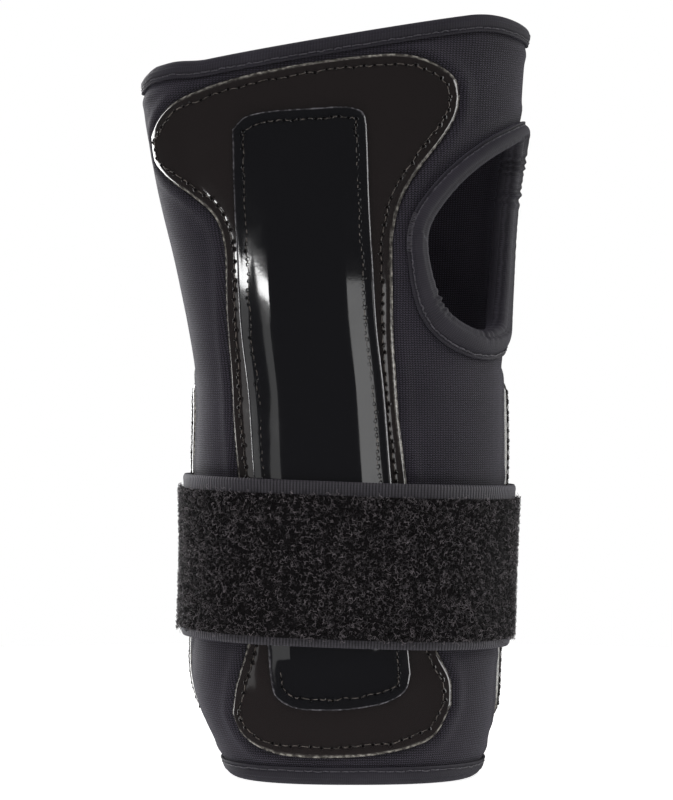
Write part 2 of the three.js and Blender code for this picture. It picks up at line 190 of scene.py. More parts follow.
def loft(rows, at):
    """Cubic interpolation of every column of rows at heights, natural at both ends."""
    stations = rows[:, 0]
    last = len(stations) - 1
    i = np.clip(np.searchsorted(stations, at, side="right"), 1, last)
    t0, t1 = stations[i - 1], stations[i]
    at_start, at_end = i == 1, i == last
    before = np.where(at_start, i, i - 2)
    after = np.where(at_end, i - 1, np.minimum(i + 1, last))
    half = (t1 - t0) / 2
    prev = half / (t0 - np.where(at_start, t1, stations[before]))
    nxt = half / (np.where(at_end, t0, stations[after]) - t1)
    p = (at - t0) / (t1 - t0)
    weights = [
        -prev * p**3 + 2 * prev * p**2 - prev * p,
        (1 + prev) * p**3 - (1.5 + 2 * prev) * p**2 + (prev - 0.5) * p + 1,
        -(1 + nxt) * p**3 + (1.5 + nxt) * p**2 + 0.5 * p,
        nxt * p**3 - nxt * p**2,
    ]
    picked = [rows[before], rows[i - 1], rows[i], rows[after]]
    return sum(w[:, None] * r[:, 1:] for w, r in zip(weights, picked)).T


LOFT_Z = np.linspace(0, 200, 1601)
LOFT = loft(SECTIONS, LOFT_Z)


def section(z):
    """Middle x, middle y, half width and half depth of the sleeve at heights."""
    left, right, palm, back = (np.interp(z, LOFT_Z, column) for column in LOFT)
    return (left + right) / 2, (palm + back) / 2, (right - left) / 2, (back - palm) / 2


def outward(turn, z):
    """Unit normals of the sleeve, pointing out of it, at turns and heights."""
    _, _, half_width, half_depth = section(z)
    cos, sin = np.cos(np.radians(turn)), np.sin(np.radians(turn))
    x = np.sign(cos) * np.abs(cos) ** (ROUNDNESS - 1) / half_width
    y = np.sign(sin) * np.abs(sin) ** (ROUNDNESS - 1) / half_depth
    size = np.hypot(x, y)
    return np.stack([x / size, y / size, np.zeros_like(size)], axis=-1)


def sleeve(turn, z, offset=0.0):
    """Points of the sleeve's outer face at turns and heights, moved outwards by offset."""
    turn, z, offset = np.broadcast_arrays(*(np.asarray(v, float) for v in (turn, z, offset)))
    x, y, half_width, half_depth = section(z)
    cos, sin = np.cos(np.radians(turn)), np.sin(np.radians(turn))
    size = (np.abs(cos) ** ROUNDNESS + np.abs(sin) ** ROUNDNESS) ** (-1 / ROUNDNESS)
    face = np.stack([x + half_width * size * cos, y + half_depth * size * sin, z], axis=-1)
    return face + outward(turn, z) * offset[..., None]


TURNS = np.linspace(-240, 240, 4801)
WRIST = 100.0  # the height at which lengths round the sleeve are measured
AROUND = np.concatenate([[0], np.cumsum(np.linalg.norm(
    np.diff(sleeve(TURNS, WRIST), axis=0), axis=1))])


def around(turn):
    """Millimetres round the sleeve, at the wrist's girth, to a turn."""
    return np.interp(turn, TURNS, AROUND)


def arc_between(start, end):
    """Millimetres round the sleeve between two turns."""
    return np.abs(np.diff(around([start, end])))[0]


def unrolled(turn, z):
    """Millimetres along the cloth: round the sleeve, and up it."""
    turn, z = np.broadcast_arrays(turn, z)
    return np.stack([around(turn), z], axis=-1)


def degree_length(turn, z):
    """Millimetres that one degree of turn takes at turns and heights."""
    return np.linalg.norm(sleeve(turn + 0.5, z) - sleeve(turn - 0.5, z), axis=-1)


def wrap(side, pairs):
    """Points drawn flat on the palm, side -1, or the back, side 1, as turns and heights."""
    x, z = np.array(pairs, float).T
    middle, _, half_width, _ = section(z)
    reach = np.clip((x - middle) / half_width, -0.998, 0.998)
    depth = (1 - np.abs(reach) ** ROUNDNESS) ** (1 / ROUNDNESS)
    return np.stack([np.degrees(np.arctan2(side * depth, reach)), z], axis=-1)


def hand_edge(turn):
    """Height of the hand end's edge at a turn: a slope with both of its corners eased."""
    x = sleeve(turn, HAND_EDGE)[..., 0]
    thumb_corner = -HAND_DROP * (np.maximum(0, x - 33) / 16) ** 2
    little_corner = 1.3 * smoothstep(-x, 34, 44) - 1.6 * smoothstep(-x, 47, 51)
    return HAND_EDGE + HAND_SLOPE * x + thumb_corner + little_corner


# ---- Lines and outlines -------------------------------------------------------------------

def smooth_line(pairs, closed=False, steps=24):
    """A dense centripetal Catmull-Rom line through the pairs."""
    p = np.array(pairs, float)
    if closed:
        p = np.concatenate([p[-1:], p, p[:2]])
    else:
        p = np.concatenate([[2 * p[0] - p[1]], p, [2 * p[-1] - p[-2]]])
    t = np.linspace(0, 1, steps, endpoint=False)[:, None]
    pieces = []
    for p0, p1, p2, p3 in zip(p, p[1:], p[2:], p[3:]):
        d0, d1, d2 = (np.linalg.norm(b - a) ** 0.5 for a, b in ((p0, p1), (p1, p2), (p2, p3)))
        m1 = ((p1 - p0) / d0 - (p2 - p0) / (d0 + d1) + (p2 - p1) / d1) * d1
        m2 = ((p2 - p1) / d1 - (p3 - p1) / (d1 + d2) + (p3 - p2) / d2) * d1
        bend = -3 * p1 + 3 * p2 - 2 * m1 - m2
        pieces.append(p1 + m1 * t + bend * t**2 + (2 * p1 - 2 * p2 + m1 + m2) * t**3)
    end = p[1:2] if closed else p[-2:-1]
    return np.concatenate(pieces + [end])


def spread(line, u):
    """Points at shares u of a line's length."""
    run = np.concatenate([[0], np.cumsum(np.linalg.norm(np.diff(line, axis=0), axis=1))])
    return np.stack([np.interp(np.asarray(u) * run[-1], run, c) for c in line.T], axis=-1)


def even_line(line, step):
    """A line of turns and heights round a closed shape, respaced to equal steps of real
    length. Its last point is joined to its first, a whole turn on where it goes round."""
    whole_turn = 360 * round((line[-1, 0] - line[0, 0]) / 360)
    line = np.concatenate([line, line[:1] + [whole_turn, 0]])
    run = np.linalg.norm(np.diff(sleeve(line[:, 0], line[:, 1]), axis=0), axis=1)
    length = np.concatenate([[0], np.cumsum(run)])
    count = max(12, round(length[-1] / step))
    at = np.linspace(0, length[-1], count, endpoint=False)
    return np.stack([np.interp(at, length, c) for c in line.T], axis=-1)


def beside(line, distance):
    """An even closed line of turns and heights, moved by a distance to its right."""
    run = np.roll(line, -1, axis=0) - np.roll(line, 1, axis=0)
    run[:, 0] = (run[:, 0] + 180) % 360 - 180
    turn, z = line.T
    degree = degree_length(turn, z)
    away = np.stack([run[:, 1], -run[:, 0] * degree], axis=-1)
    away /= np.linalg.norm(away, axis=-1, keepdims=True)
    away[:, 0] /= degree
    return line + away * np.reshape(distance, (-1, 1))


def inside(line, turn, z):
    """True where a place is inside a closed line of turns and heights."""
    found = np.zeros(np.shape(turn), bool)
    for (a, b), (c, d) in zip(line, np.roll(line, -1, axis=0)):
        if b != d:
            crosses = (b > z) != (d > z)
            found ^= crosses & (turn < a + (c - a) * (z - b) / (d - b))
    return found


def distance_to(line, points):
    """Millimetres from each point to the nearest point of a line on the sleeve."""
    tree = KDTree(len(line))
    for i, spot in enumerate(sleeve(line[:, 0], line[:, 1])):
        tree.insert(spot, i)
    tree.balance()
    flat = points.reshape(-1, 3)
    return np.array([tree.find(p)[2] for p in flat]).reshape(points.shape[:-1])


class Outline:
    """A plate's four edges, and the even closed loop through them."""

    def __init__(self, edges):
        self.bottom, self.right, self.top, self.left = (smooth_line(e) for e in edges)
        loop = [self.bottom, self.right[1:], self.top[::-1][1:], self.left[::-1][1:-1]]
        self.loop = even_line(np.concatenate(loop), 0.12)

    def within(self, u, v):
        """Places inside the outline, for u from left to right and v from bottom to top."""
        u, v = np.asarray(u, float)[:, None, None], np.asarray(v, float)[None, :, None]
        low, high = (spread(e, u[:, 0, 0])[:, None, :] for e in (self.bottom, self.top))
        left, right = (spread(e, v[0, :, 0])[None, :, :] for e in (self.left, self.right))
        foot = self.bottom[0] * (1 - u) + self.bottom[-1] * u
        head = self.top[0] * (1 - u) + self.top[-1] * u
        return low * (1 - v) + high * v + left * (1 - u) + right * u - foot * (1 - v) - head * v


PALM_BASE_LINE = Outline([wrap(-1, edge) for edge in PALM_BASE])
PALM_COVER_LINE = Outline([wrap(-1, edge) for edge in PALM_COVER])
BACK_BASE_LINE = Outline(BACK_BASE)
BACK_COVER_LINE = Outline([wrap(1, edge) for edge in BACK_COVER])
THUMB_LINE = even_line(smooth_line(THUMB_EDGE, closed=True)[:-1], 0.35)


def edge_spaced(length, fine, coarse):
    """Places from 0 to 1 along a length, fine at both ends and coarse in the middle."""
    steps, step = [0.0], fine
    while steps[-1] + step < length / 2:
        steps.append(steps[-1] + step)
        step = min(coarse, step * 1.25)
    half = np.array(steps) / steps[-1] / 2
    return np.concatenate([half, 1 - half[::-1][1:]])


# ---- Mesh building ------------------------------------------------------------------------

def to_frame(points):
    """Points in millimetres on the drafting axis, as metres in the frame."""
    return (np.asarray(points, float) + CENTRE_SHIFT) * MM


def quads_of(columns, rows, ring=False, tube=False):
    """Quads of a grid of points. ring joins its last column to the first, tube its rows.
    Also gives the column and row of each corner, counted on past a join."""
    i, j = np.meshgrid(np.arange(columns - (not ring)), np.arange(rows - (not tube)),
                       indexing="ij")
    i = i.ravel()[:, None] + np.array([0, 1, 1, 0])
    j = j.ravel()[:, None] + np.array([0, 0, 1, 1])
    return (i % columns) * rows + j % rows, i, j


def outward_faces(points, faces):
    """The same faces, turned over if they enclose a negative volume."""
    volume = 0.0
    for quads, _ in faces:
        a = points[quads[:, 0]]
        for k in range(1, quads.shape[1] - 1):
            volume += np.einsum("ij,ij->", a, np.cross(points[quads[:, k]],
                                                       points[quads[:, k + 1]]))
    if volume >= 0:
        return faces
    return [(q[:, ::-1], None if uv is None else uv[:, ::-1]) for q, uv in faces]


def slab(outer, inner, pattern, keep=None):
    """A closed sheet between two equal grids of points, with the cells that keep marks."""
    columns, rows = outer.shape[:2]
    quads, _, _ = quads_of(columns, rows)
    if keep is not None:
        quads = quads[keep.ravel()]
    count = columns * rows
    edges = np.stack([quads, np.roll(quads, -1, axis=1)], axis=2).reshape(-1, 2)
    rim = edges[~np.isin(edges[:, 0] * count + edges[:, 1], edges[:, 1] * count + edges[:, 0])]
    walls = np.stack([rim[:, 1], rim[:, 0], rim[:, 0] + count, rim[:, 1] + count], axis=1)
    faces = np.concatenate([quads, quads[:, ::-1] + count, walls])
    used, faces = np.unique(faces, return_inverse=True)
    points = np.concatenate([outer.reshape(-1, 3), inner.reshape(-1, 3)])[used]
    uv = np.concatenate([pattern.reshape(-1, 2)] * 2)[used]
    faces = faces.reshape(-1, 4)
    return points, outward_faces(points, [(faces, uv[faces])])


def hoop(points, step_u, step_v):
    """A closed ring from a grid of points that joins itself both ways."""
    columns, rows = points.shape[:2]
    quads, i, j = quads_of(columns, rows, ring=True, tube=True)
    flat = points.reshape(-1, 3)
    return flat, outward_faces(flat, [(quads, np.stack([i * step_u, j * step_v], axis=-1))])


def tubes(paths, radius, sides, up):
    """Closed round tubes along many paths, given as (count, steps, 3)."""
    count, steps = paths.shape[:2]
    run = np.gradient(paths, axis=1)
    run /= np.linalg.norm(run, axis=-1, keepdims=True)
    across = np.cross(run, up[:, None, :])
    across /= np.linalg.norm(across, axis=-1, keepdims=True) + 1e-9
    rise = np.cross(across, run)
    angle = np.arange(sides) * (2 * math.pi / sides)
    reach = np.broadcast_to(radius, (count, steps))[:, :, None, None]
    rings = paths[:, :, None] + reach * (
        np.cos(angle)[:, None] * across[:, :, None] + np.sin(angle)[:, None] * rise[:, :, None])
    first = np.arange(count)[:, None, None] * (steps * sides)
    wall, _, _ = quads_of(steps, sides, tube=True)
    faces = (first + wall[None]).reshape(-1, 4)
    corner = np.arange(sides)[None]
    caps = np.concatenate([first[:, 0] + corner[:, ::-1],
                           first[:, 0] + corner + (steps - 1) * sides])
    points = rings.reshape(-1, 3)
    return points, outward_faces(points, [(faces, None), (caps, None)])


def join(parts):
    """One set of points and faces from several."""
    points, faces, total = [], [], 0
    for spots, some in parts:
        points.append(spots)
        faces += [(quads + total, uv) for quads, uv in some]
        total += len(spots)
    return np.concatenate(points), faces


def make_object(name, part, materials, values=None, picks=None):
    """A smooth-shaded mesh object. values are named numbers for each point, and picks is
    the material of each set of faces."""
    points, faces = part
    mesh = bpy.data.meshes.new(name)
    mesh.vertices.add(len(points))
    mesh.vertices.foreach_set("co", to_frame(points).astype(np.float32).ravel())
    corners = np.concatenate([quads.ravel() for quads, _ in faces])
    sizes = np.concatenate([np.full(len(quads), quads.shape[1]) for quads, _ in faces])
    mesh.loops.add(len(corners))
    mesh.loops.foreach_set("vertex_index", corners.astype(np.int32))
    mesh.polygons.add(len(sizes))
    starts = np.concatenate([[0], np.cumsum(sizes)[:-1]])
    mesh.polygons.foreach_set("loop_start", starts.astype(np.int32))
    mesh.polygons.foreach_set("loop_total", sizes.astype(np.int32))
    mesh.polygons.foreach_set("use_smooth", np.ones(len(sizes), bool))
    if picks is not None:
        index = np.concatenate([np.full(len(q), k) for (q, _), k in zip(faces, picks)])
        mesh.polygons.foreach_set("material_index", index.astype(np.int32))
    uv = [np.zeros((q.size, 2)) if spots is None else spots.reshape(-1, 2)
          for q, spots in faces]
    layer = mesh.uv_layers.new(name=PATTERN)
    layer.data.foreach_set("uv", np.concatenate(uv).astype(np.float32).ravel())
    for key, numbers in (values or {}).items():
        attribute = mesh.attributes.new(key, "FLOAT", "POINT")
        attribute.data.foreach_set("value", np.asarray(numbers, np.float32).ravel())
    mesh.update(calc_edges=True)
    for material in materials:
        mesh.materials.append(material)
    made = bpy.data.objects.new(name, mesh)
    bpy.context.scene.collection.objects.link(made)
    return made


def settle(piece, body=None, fold=None, nodes=()):
    """Moves a piece with its body, or, given a fold, bakes its transform and leaves it
    unattached; and hides the CAD nodes that it stands for."""
    if fold is None:
        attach(piece, body)
    else:
        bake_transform(piece)
    if nodes:
        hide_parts(*nodes)
    return piece


# ---- Materials ----------------------------------------------------------------------------

PATTERN = "pattern"  # the UV map that holds millimetres along the cloth


def linear(colour):
    """Linear red, green, blue and alpha of an sRGB hex colour."""
    parts = [int(colour[i:i + 2], 16) / 255 for i in (1, 3, 5)]
    return [p / 12.92 if p <= 0.04045 else ((p + 0.055) / 1.055) ** 2.4 for p in parts] + [1.0]


def add_node(tree, kind, feeds=None, **settings):
    """Adds a shader node. feeds are values for its sockets, or the sockets that feed them."""
    made = tree.nodes.new("ShaderNode" + kind)
    for key, value in settings.items():
        setattr(made, key, value)
    for key, value in (feeds or {}).items():
        if isinstance(value, bpy.types.NodeSocket):
            tree.links.new(value, made.inputs[key])
        else:
            made.inputs[key].default_value = value
    return made.outputs[0]


def new_material(name, **sockets):
    """An empty principled material, its tree and its shader."""
    material = bpy.data.materials.new(name)
    material.use_nodes = True
    tree = material.node_tree
    shader = tree.nodes["Principled BSDF"]
    for key, value in sockets.items():
        shader.inputs[key.replace("_", " ")].default_value = value
    return material, tree, shader


def tint(tree, shader, amount, dark, light):
    """Mixes two colours into the shader by an amount from 0 to 1."""
    mix = add_node(tree, "Mix", {0: amount, 6: dark, 7: light}, data_type="RGBA").node
    tree.links.new(mix.outputs[2], shader.inputs["Base Color"])


def relief(tree, shader, height, depth_mm, below=None):
    """Bumps the shader's normal by a height from 0 to 1 that is depth_mm deep."""
    feeds = {"Height": height, "Distance": depth_mm * MM, "Strength": 1.0}
    if below is not None:
        feeds["Normal"] = below
    bump = add_node(tree, "Bump", feeds)
    tree.links.new(bump, shader.inputs["Normal"])
    return bump


def knit_height(tree, wale, course, slant):
    """Height of a weft knit: columns of V-shaped loops wale mm wide and course mm tall."""
    place = add_node(tree, "SeparateXYZ", {0: add_node(tree, "UVMap", uv_map=PATTERN)})
    across, along = place.node.outputs[0], place.node.outputs[1]
    uneven = clouds(tree, 700.0, 2.0)
    across = add_node(tree, "Math", {0: uneven, 1: 0.45 * wale, 2: across},
                      operation="MULTIPLY_ADD")
    along = add_node(tree, "Math", {0: uneven, 1: 0.9 * course, 2: along},
                     operation="MULTIPLY_ADD")
    leg = add_node(tree, "Math", {0: across, 1: wale / 2}, operation="PINGPONG")
    shifted = add_node(tree, "Math", {0: leg, 1: slant, 2: along}, operation="MULTIPLY_ADD")
    phase = add_node(tree, "Math", {0: shifted, 1: 2 * math.pi / course}, operation="MULTIPLY")
    wave = add_node(tree, "Math", {0: phase}, operation="SINE")
    loop = add_node(tree, "Math", {0: wave, 1: 0.42, 2: 0.58}, operation="MULTIPLY_ADD")
    ridge = add_node(tree, "Math", {0: leg, 1: 2 / wale}, operation="MULTIPLY")
    round_leg = add_node(tree, "Math", {0: ridge, 1: 0.35}, operation="POWER")
    return add_node(tree, "Math", {0: loop, 1: round_leg}, operation="MULTIPLY")


def clouds(tree, scale, detail=2.0, rough=0.5):
    """Soft noise from 0 to 1, scale lumps to a metre."""
    where = add_node(tree, "TexCoord").node.outputs["Object"]
    return add_node(tree, "TexNoise",
                    {"Vector": where, "Scale": scale, "Detail": detail, "Roughness": rough})


def knit_faced_neoprene(colours):
    """Foam rubber faced with weft-knitted nylon: matt, with fine columns of loops and a soft
    sheen where it turns away. Its colour is darker in the knit's grooves, which is painted
    shade, and softly uneven in tone."""
    material, tree, shader = new_material(
        "knit_faced_neoprene", Roughness=0.82, IOR=1.5, Sheen_Weight=0.22,
        Sheen_Roughness=0.45, Sheen_Tint=linear("#b9b4c8"), Specular_IOR_Level=0.3)
    # Real wales are about 0.5 mm apart. They are drawn 0.7 mm apart, so that they show.
    knit = knit_height(tree, wale=0.7, course=0.58, slant=1.0)
    # Soft clouds give uneven tone. The knit's low grooves come out dark towards #09080b, which
    # is painted shade.
    tone_and_groove_shade = add_node(tree, "Math", {0: clouds(tree, 60.0), 1: 0.25, 2: knit},
                    operation="MULTIPLY_ADD")
    shade = add_node(tree, "MapRange", {0: tone_and_groove_shade, 1: 0.4, 2: 1.02})
    tint(tree, shader, shade, linear("#09080b"), [*colours.cloth, 1.0])
    relief(tree, shader, knit, 0.12)
    return material


def stretch_binding(colours):
    """A folded strip of fine stretch jersey: smoother and closer than the sleeve's knit. Its
    colour is darker in the knit's grooves, which is painted shade.
    """
    material, tree, shader = new_material(
        "stretch_jersey_binding", Roughness=0.74, IOR=1.5, Sheen_Weight=0.16,
        Sheen_Roughness=0.4, Sheen_Tint=linear("#b5b2c6"), Specular_IOR_Level=0.32)
    # Real wales are about 0.3 mm apart. They are drawn 0.5 mm apart, so that they show.
    knit = knit_height(tree, wale=0.5, course=0.45, slant=0.7)
    # Soft clouds give uneven tone. The knit's low grooves come out dark towards #16151a, which
    # is painted shade.
    shade = add_node(tree, "Math", {0: clouds(tree, 90.0), 1: 0.5, 2: knit},
                     operation="MULTIPLY_ADD")
    shade = add_node(tree, "MapRange", {0: shade, 1: 0.2, 2: 1.3, 3: 0.0, 4: 1.0})
    tint(tree, shader, shade, linear("#16151a"), [*colours.binding, 1.0])
    relief(tree, shader, knit, 0.06)
    return material


def polished_plastic(name, colour, edge):
    """Extruded sheet plastic with a polished face: deep gloss, faint waves and hair
    scratches, and a paler cut edge with chalky specks. The pale edge is partly a painted
    highlight, for the light that its bevel catches."""
    material, tree, shader = new_material(name, IOR=1.49, Roughness=0.09)
    rim = add_node(tree, "Attribute", attribute_name="rim").node.outputs["Fac"]
    specks = add_node(tree, "MapRange", {0: clouds(tree, 900.0, 3.0), 1: 0.42, 2: 0.72, 3: 0.1,
                                         4: 0.85})
    # The paler colour along the bevel is a chalky cut edge, and partly a painted highlight.
    chalk_and_edge_highlight = add_node(tree, "Math", {0: rim, 1: specks}, operation="MULTIPLY")
    tint(tree, shader, chalk_and_edge_highlight, colour, edge)
    grime = clouds(tree, 120.0, 5.0, 0.7)
    gloss = add_node(tree, "MapRange", {0: grime, 1: 0.35, 2: 0.75, 3: 0.05, 4: 0.12})
    dull = add_node(tree, "Math", {0: chalk_and_edge_highlight, 1: 0.35, 2: gloss}, operation="MULTIPLY_ADD")
    tree.links.new(dull, shader.inputs["Roughness"])
    waves = relief(tree, shader, clouds(tree, 45.0, 1.0), 0.25)
    relief(tree, shader, clouds(tree, 900.0, 2.0), 0.004, below=waves)
    return material


def brushed_aluminium(colours):
    """Flat aluminium bar, brushed along its length: satin, with fine long lines."""
    material, tree, shader = new_material(
        "brushed_aluminium_bar", Metallic=1.0, Roughness=0.32, Anisotropic=0.6)
    where = add_node(tree, "TexCoord").node.outputs["Object"]
    drawn = add_node(tree, "Mapping", {0: where, "Scale": (3000.0, 3000.0, 20.0)})
    lines = add_node(tree, "TexNoise", {"Vector": drawn, "Scale": 1.0, "Detail": 2.0})
    tint(tree, shader, lines, linear("#6f7276"), [*colours.stay, 1.0])
    relief(tree, shader, lines, 0.01)
    return material


def bonded_thread(colours):
    """Bonded polyester sewing thread: two plies twisted together, with a waxy glint."""
    material, tree, shader = new_material(
        "bonded_polyester_thread", Roughness=0.3, IOR=1.54, Sheen_Weight=0.1,
        Sheen_Roughness=0.5)
    twist = clouds(tree, 1800.0, 1.0)
    tint(tree, shader, add_node(tree, "MapRange", {0: twist, 1: 0.35, 2: 0.65}),
         linear("#1d1b1a"), [*colours.thread, 1.0])
    relief(tree, shader, twist, 0.05)
    return material


def dyed_thread():
    """Spun polyester thread dyed to match the cloth: matt, and barely lighter than it."""
    material, tree, shader = new_material(
        "spun_polyester_thread", Roughness=0.7, IOR=1.54, Sheen_Weight=0.2)
    twist = clouds(tree, 1800.0, 1.0)
    tint(tree, shader, twist, linear("#141317"), linear("#5c5862"))
    relief(tree, shader, twist, 0.04)
    return material


def knitted_elastic(colours):
    """Warp-knitted elastic: upright ribs 0.75 mm apart, crossed by fine courses. It is
    coloured darker between the ribs and courses, which is painted shade.
    """
    material, tree, shader = new_material(
        "warp_knitted_elastic", Roughness=0.78, IOR=1.5, Sheen_Weight=0.3,
        Sheen_Roughness=0.5, Sheen_Tint=linear("#b9b6c4"))
    place = add_node(tree, "SeparateXYZ", {0: add_node(tree, "UVMap", uv_map=PATTERN)})
    across, along = place.node.outputs[0], place.node.outputs[1]
    rib = add_node(tree, "Math", {0: across, 1: 0.375}, operation="PINGPONG")
    rib = add_node(tree, "MapRange", {0: rib, 1: 0.02, 2: 0.3}, interpolation_type="SMOOTHSTEP")
    course = add_node(tree, "Math", {0: along, 1: 0.3}, operation="PINGPONG")
    height = add_node(tree, "Math", {0: course, 1: 0.9, 2: rib}, operation="MULTIPLY_ADD")
    # Low places between ribs and courses come out dark towards #0b0a0c, which is painted shade.
    shade = add_node(tree, "MapRange", {0: height, 1: 0.0, 2: 1.2})
    tint(tree, shader, shade, linear("#0b0a0c"), [*colours.elastic, 1.0])
    relief(tree, shader, height, 0.12)
    return material


def brushed_loops(colours):
    """Brushed nylon loops: curly filaments, each a little lighter or darker at random. The
    few light ones are partly a painted highlight, for the glints of real loops.
    """
    material, tree, shader = new_material(
        "brushed_nylon_loops", Roughness=0.5, IOR=1.53, Specular_IOR_Level=0.3)
    shade = add_node(tree, "Attribute", attribute_name="shade").node.outputs["Fac"]
    tint(tree, shader, shade, linear("#030203"), [*colours.pile, 1.0])
    return material


def loop_ground():
    """The knitted ground under the brushed loops: near black, with a lumpy nap. Its darkness
    is partly its own colour and partly painted shade under the filaments.
    """
    material, tree, shader = new_material(
        "loop_tape_ground", Roughness=0.95, IOR=1.5, Specular_IOR_Level=0.15)
    nap = clouds(tree, 1100.0, 3.0, 0.6)
    # Near black: partly the tape's own colour, and partly painted shade under the filaments.
    tint(tree, shader, nap, linear("#040304"), linear("#151314"))
    relief(tree, shader, nap, 0.3)
    return material


def moulded_hooks():
    """Injection-moulded hook tape: satin nylon with a faint draw texture."""
    material, tree, shader = new_material("moulded_nylon_hooks", Roughness=0.5, IOR=1.53)
    grain = clouds(tree, 1500.0, 2.0)
    tint(tree, shader, grain, linear("#0e0d0e"), linear("#242223"))
    relief(tree, shader, grain, 0.03)
    return material


def seamless_paper():
    """Matt white background paper for the floor."""
    material, tree, shader = new_material(
        "seamless_paper_floor", Roughness=0.9, Emission_Strength=0.9,
        Emission_Color=(1, 1, 1, 1))
    tint(tree, shader, clouds(tree, 400.0), linear("#f4f4f4"), linear("#fbfbfb"))
    return material


MATERIALS = {}


def make_materials(colours):
    """Makes every material but the floor's, which the stage makes."""
    MATERIALS.update(
        cloth=knit_faced_neoprene(colours), binding=stretch_binding(colours),
        # The pale edge colours are partly a painted highlight along the plates' bevels.
        base=polished_plastic("polished_sheet_plastic", [*colours.base, 1.0],
                              linear("#aaa69e")),
        cover=polished_plastic("heat_formed_sheet_plastic", [*colours.cover, 1.0],
                               linear("#77757a")),
        stay=brushed_aluminium(colours), thread=bonded_thread(colours), dyed=dyed_thread(),
        elastic=knitted_elastic(colours), loops=brushed_loops(colours), ground=loop_ground(),
        hooks=moulded_hooks())


# ---- Sleeve -------------------------------------------------------------------------------

def unevenness(turn, z):
    """Gentle hollows and swells of worn cloth, from -1 to 1."""
    a, b = unrolled(turn, z)[..., 0] / 10, z / 10
    waves = [(0.9, 0.35, 0.3), (-0.4, 0.8, 1.7), (1.6, -0.9, 4.1), (0.5, 1.9, 2.2)]
    return sum(np.sin(a * p + b * q + r) for p, q, r in waves) / len(waves)


def strap_middle(turn):
    """Height of the strap's middle line, which slopes across the wrist."""
    return STRAP_MIDDLE + STRAP_SLOPE * sleeve(turn, STRAP_MIDDLE)[..., 0]


def cloth_offset(turn, z, from_seam):
    """How far the sleeve's outer face stands from the drafted one."""
    face = sleeve(turn, z)
    height = 0.32 * unevenness(turn, z)
    for shape in (PALM_BASE_LINE, BACK_BASE_LINE):
        away = distance_to(shape.loop, face)
        under = inside(shape.loop, turn, z) | inside(shape.loop, turn + 360, z)
        pressed = -0.15 - 0.7 * (1 - smoothstep(away, 0.5, 4))
        beyond = 0.5 * bell(away, 2.4, 1.3) - 0.75 * (1 - smoothstep(away, 0, 1.3))
        height = np.where(under, pressed, height * smoothstep(away, 0, 6) + beyond)
    to_strap = np.abs(z - strap_middle(turn)) - BAND_HEIGHT / 2
    height += 0.3 * bell(to_strap, 2.5, 1.8) * smoothstep(height, -0.1, 0.05)
    for from_edge in (z, hand_edge(turn) - z):
        height *= smoothstep(from_edge, 3.5, 7.5)
        height += 0.3 * bell(from_edge, 7.2, 1.4) - 0.3 * bell(from_edge, 4.2, 1.2)
    to_thumb = distance_to(THUMB_LINE, face)
    height += 0.3 * bell(to_thumb, 9.0, 1.4) - 0.3 * (1 - smoothstep(to_thumb, 5.5, 7.5))
    return height - 0.75 * bell(from_seam, 0, 0.9)


PANEL_STEP, PANEL_ROWS = 0.9, 216  # round the sleeve in millimetres, and up it


def panel(name, start, end):
    """One panel of the sleeve between two seams, with its share of the thumb opening."""
    arc = arc_between(start, end)
    turn = np.linspace(start, end, round(arc / PANEL_STEP) + 1)[:, None]
    low, high = PANEL_INSET, hand_edge(turn) - PANEL_INSET
    z = low + (high - low) * np.linspace(0, 1, PANEL_ROWS)[None, :]
    turn = np.broadcast_to(turn, z.shape)
    pattern = unrolled(turn, z)
    from_seam = np.minimum(*(np.abs(pattern[..., 0] - around(end_turn))
                             for end_turn in (start, end)))
    lift = cloth_offset(turn, z, from_seam)
    outer = sleeve(turn, z, lift)
    inner = sleeve(turn, z, 0.3 * lift - CLOTH)
    cut = beside(THUMB_LINE, CUT_BACK)
    mid_turn = (turn[1:, 1:] + turn[:-1, :-1]) / 2
    mid_z = (z[1:, 1:] + z[:-1, :-1]) / 2
    part = slab(outer, inner, pattern, keep=~inside(cut, mid_turn, mid_z))
    piece = make_object(name + "_cloth", part, [MATERIALS["cloth"]])
    settle(piece, "guard", nodes=[name])
    return piece


def zigzag_seam(name, turn, low, high):
    """A flat seam's zigzag thread, with one straight thread sunk along its middle."""
    pitch, steps, reach = 0.9, 6, 1.5
    z = np.linspace(low, high, round((high - low) / pitch) * steps + 1)
    swing = np.abs((np.arange(len(z)) / steps + 0.5) % 2 - 1) * 2 - 1
    # A millimetre in degrees of turn, as on a circle as wide as the sleeve.
    degree = np.interp(z, LOFT_Z, 1 / (LOFT[1] - LOFT[0])) * 115
    path = sleeve(turn + swing * reach * degree, z, 0.18 - 0.25 * np.abs(swing) ** 3)
    middle = sleeve(turn, z, -0.55)
    up = outward(np.full(1, float(turn)), np.full(1, (low + high) / 2))
    parts = [tubes(line[None], radius, 6, up) for line, radius in ((path, 0.2), (middle, 0.25))]
    piece = make_object(name + "_thread", join(parts), [MATERIALS["dyed"]])
    return settle(piece, "guard", nodes=[name])


# ---- Bindings -----------------------------------------------------------------------------

# The half round of a binding's rolled edge, in along the cloth and out from it.
ROUND_IN, ROUND_OUT = 1.7, 1.9
SEW_INSET = 0.95  # from the edge of a binding's outer leg to its stitches


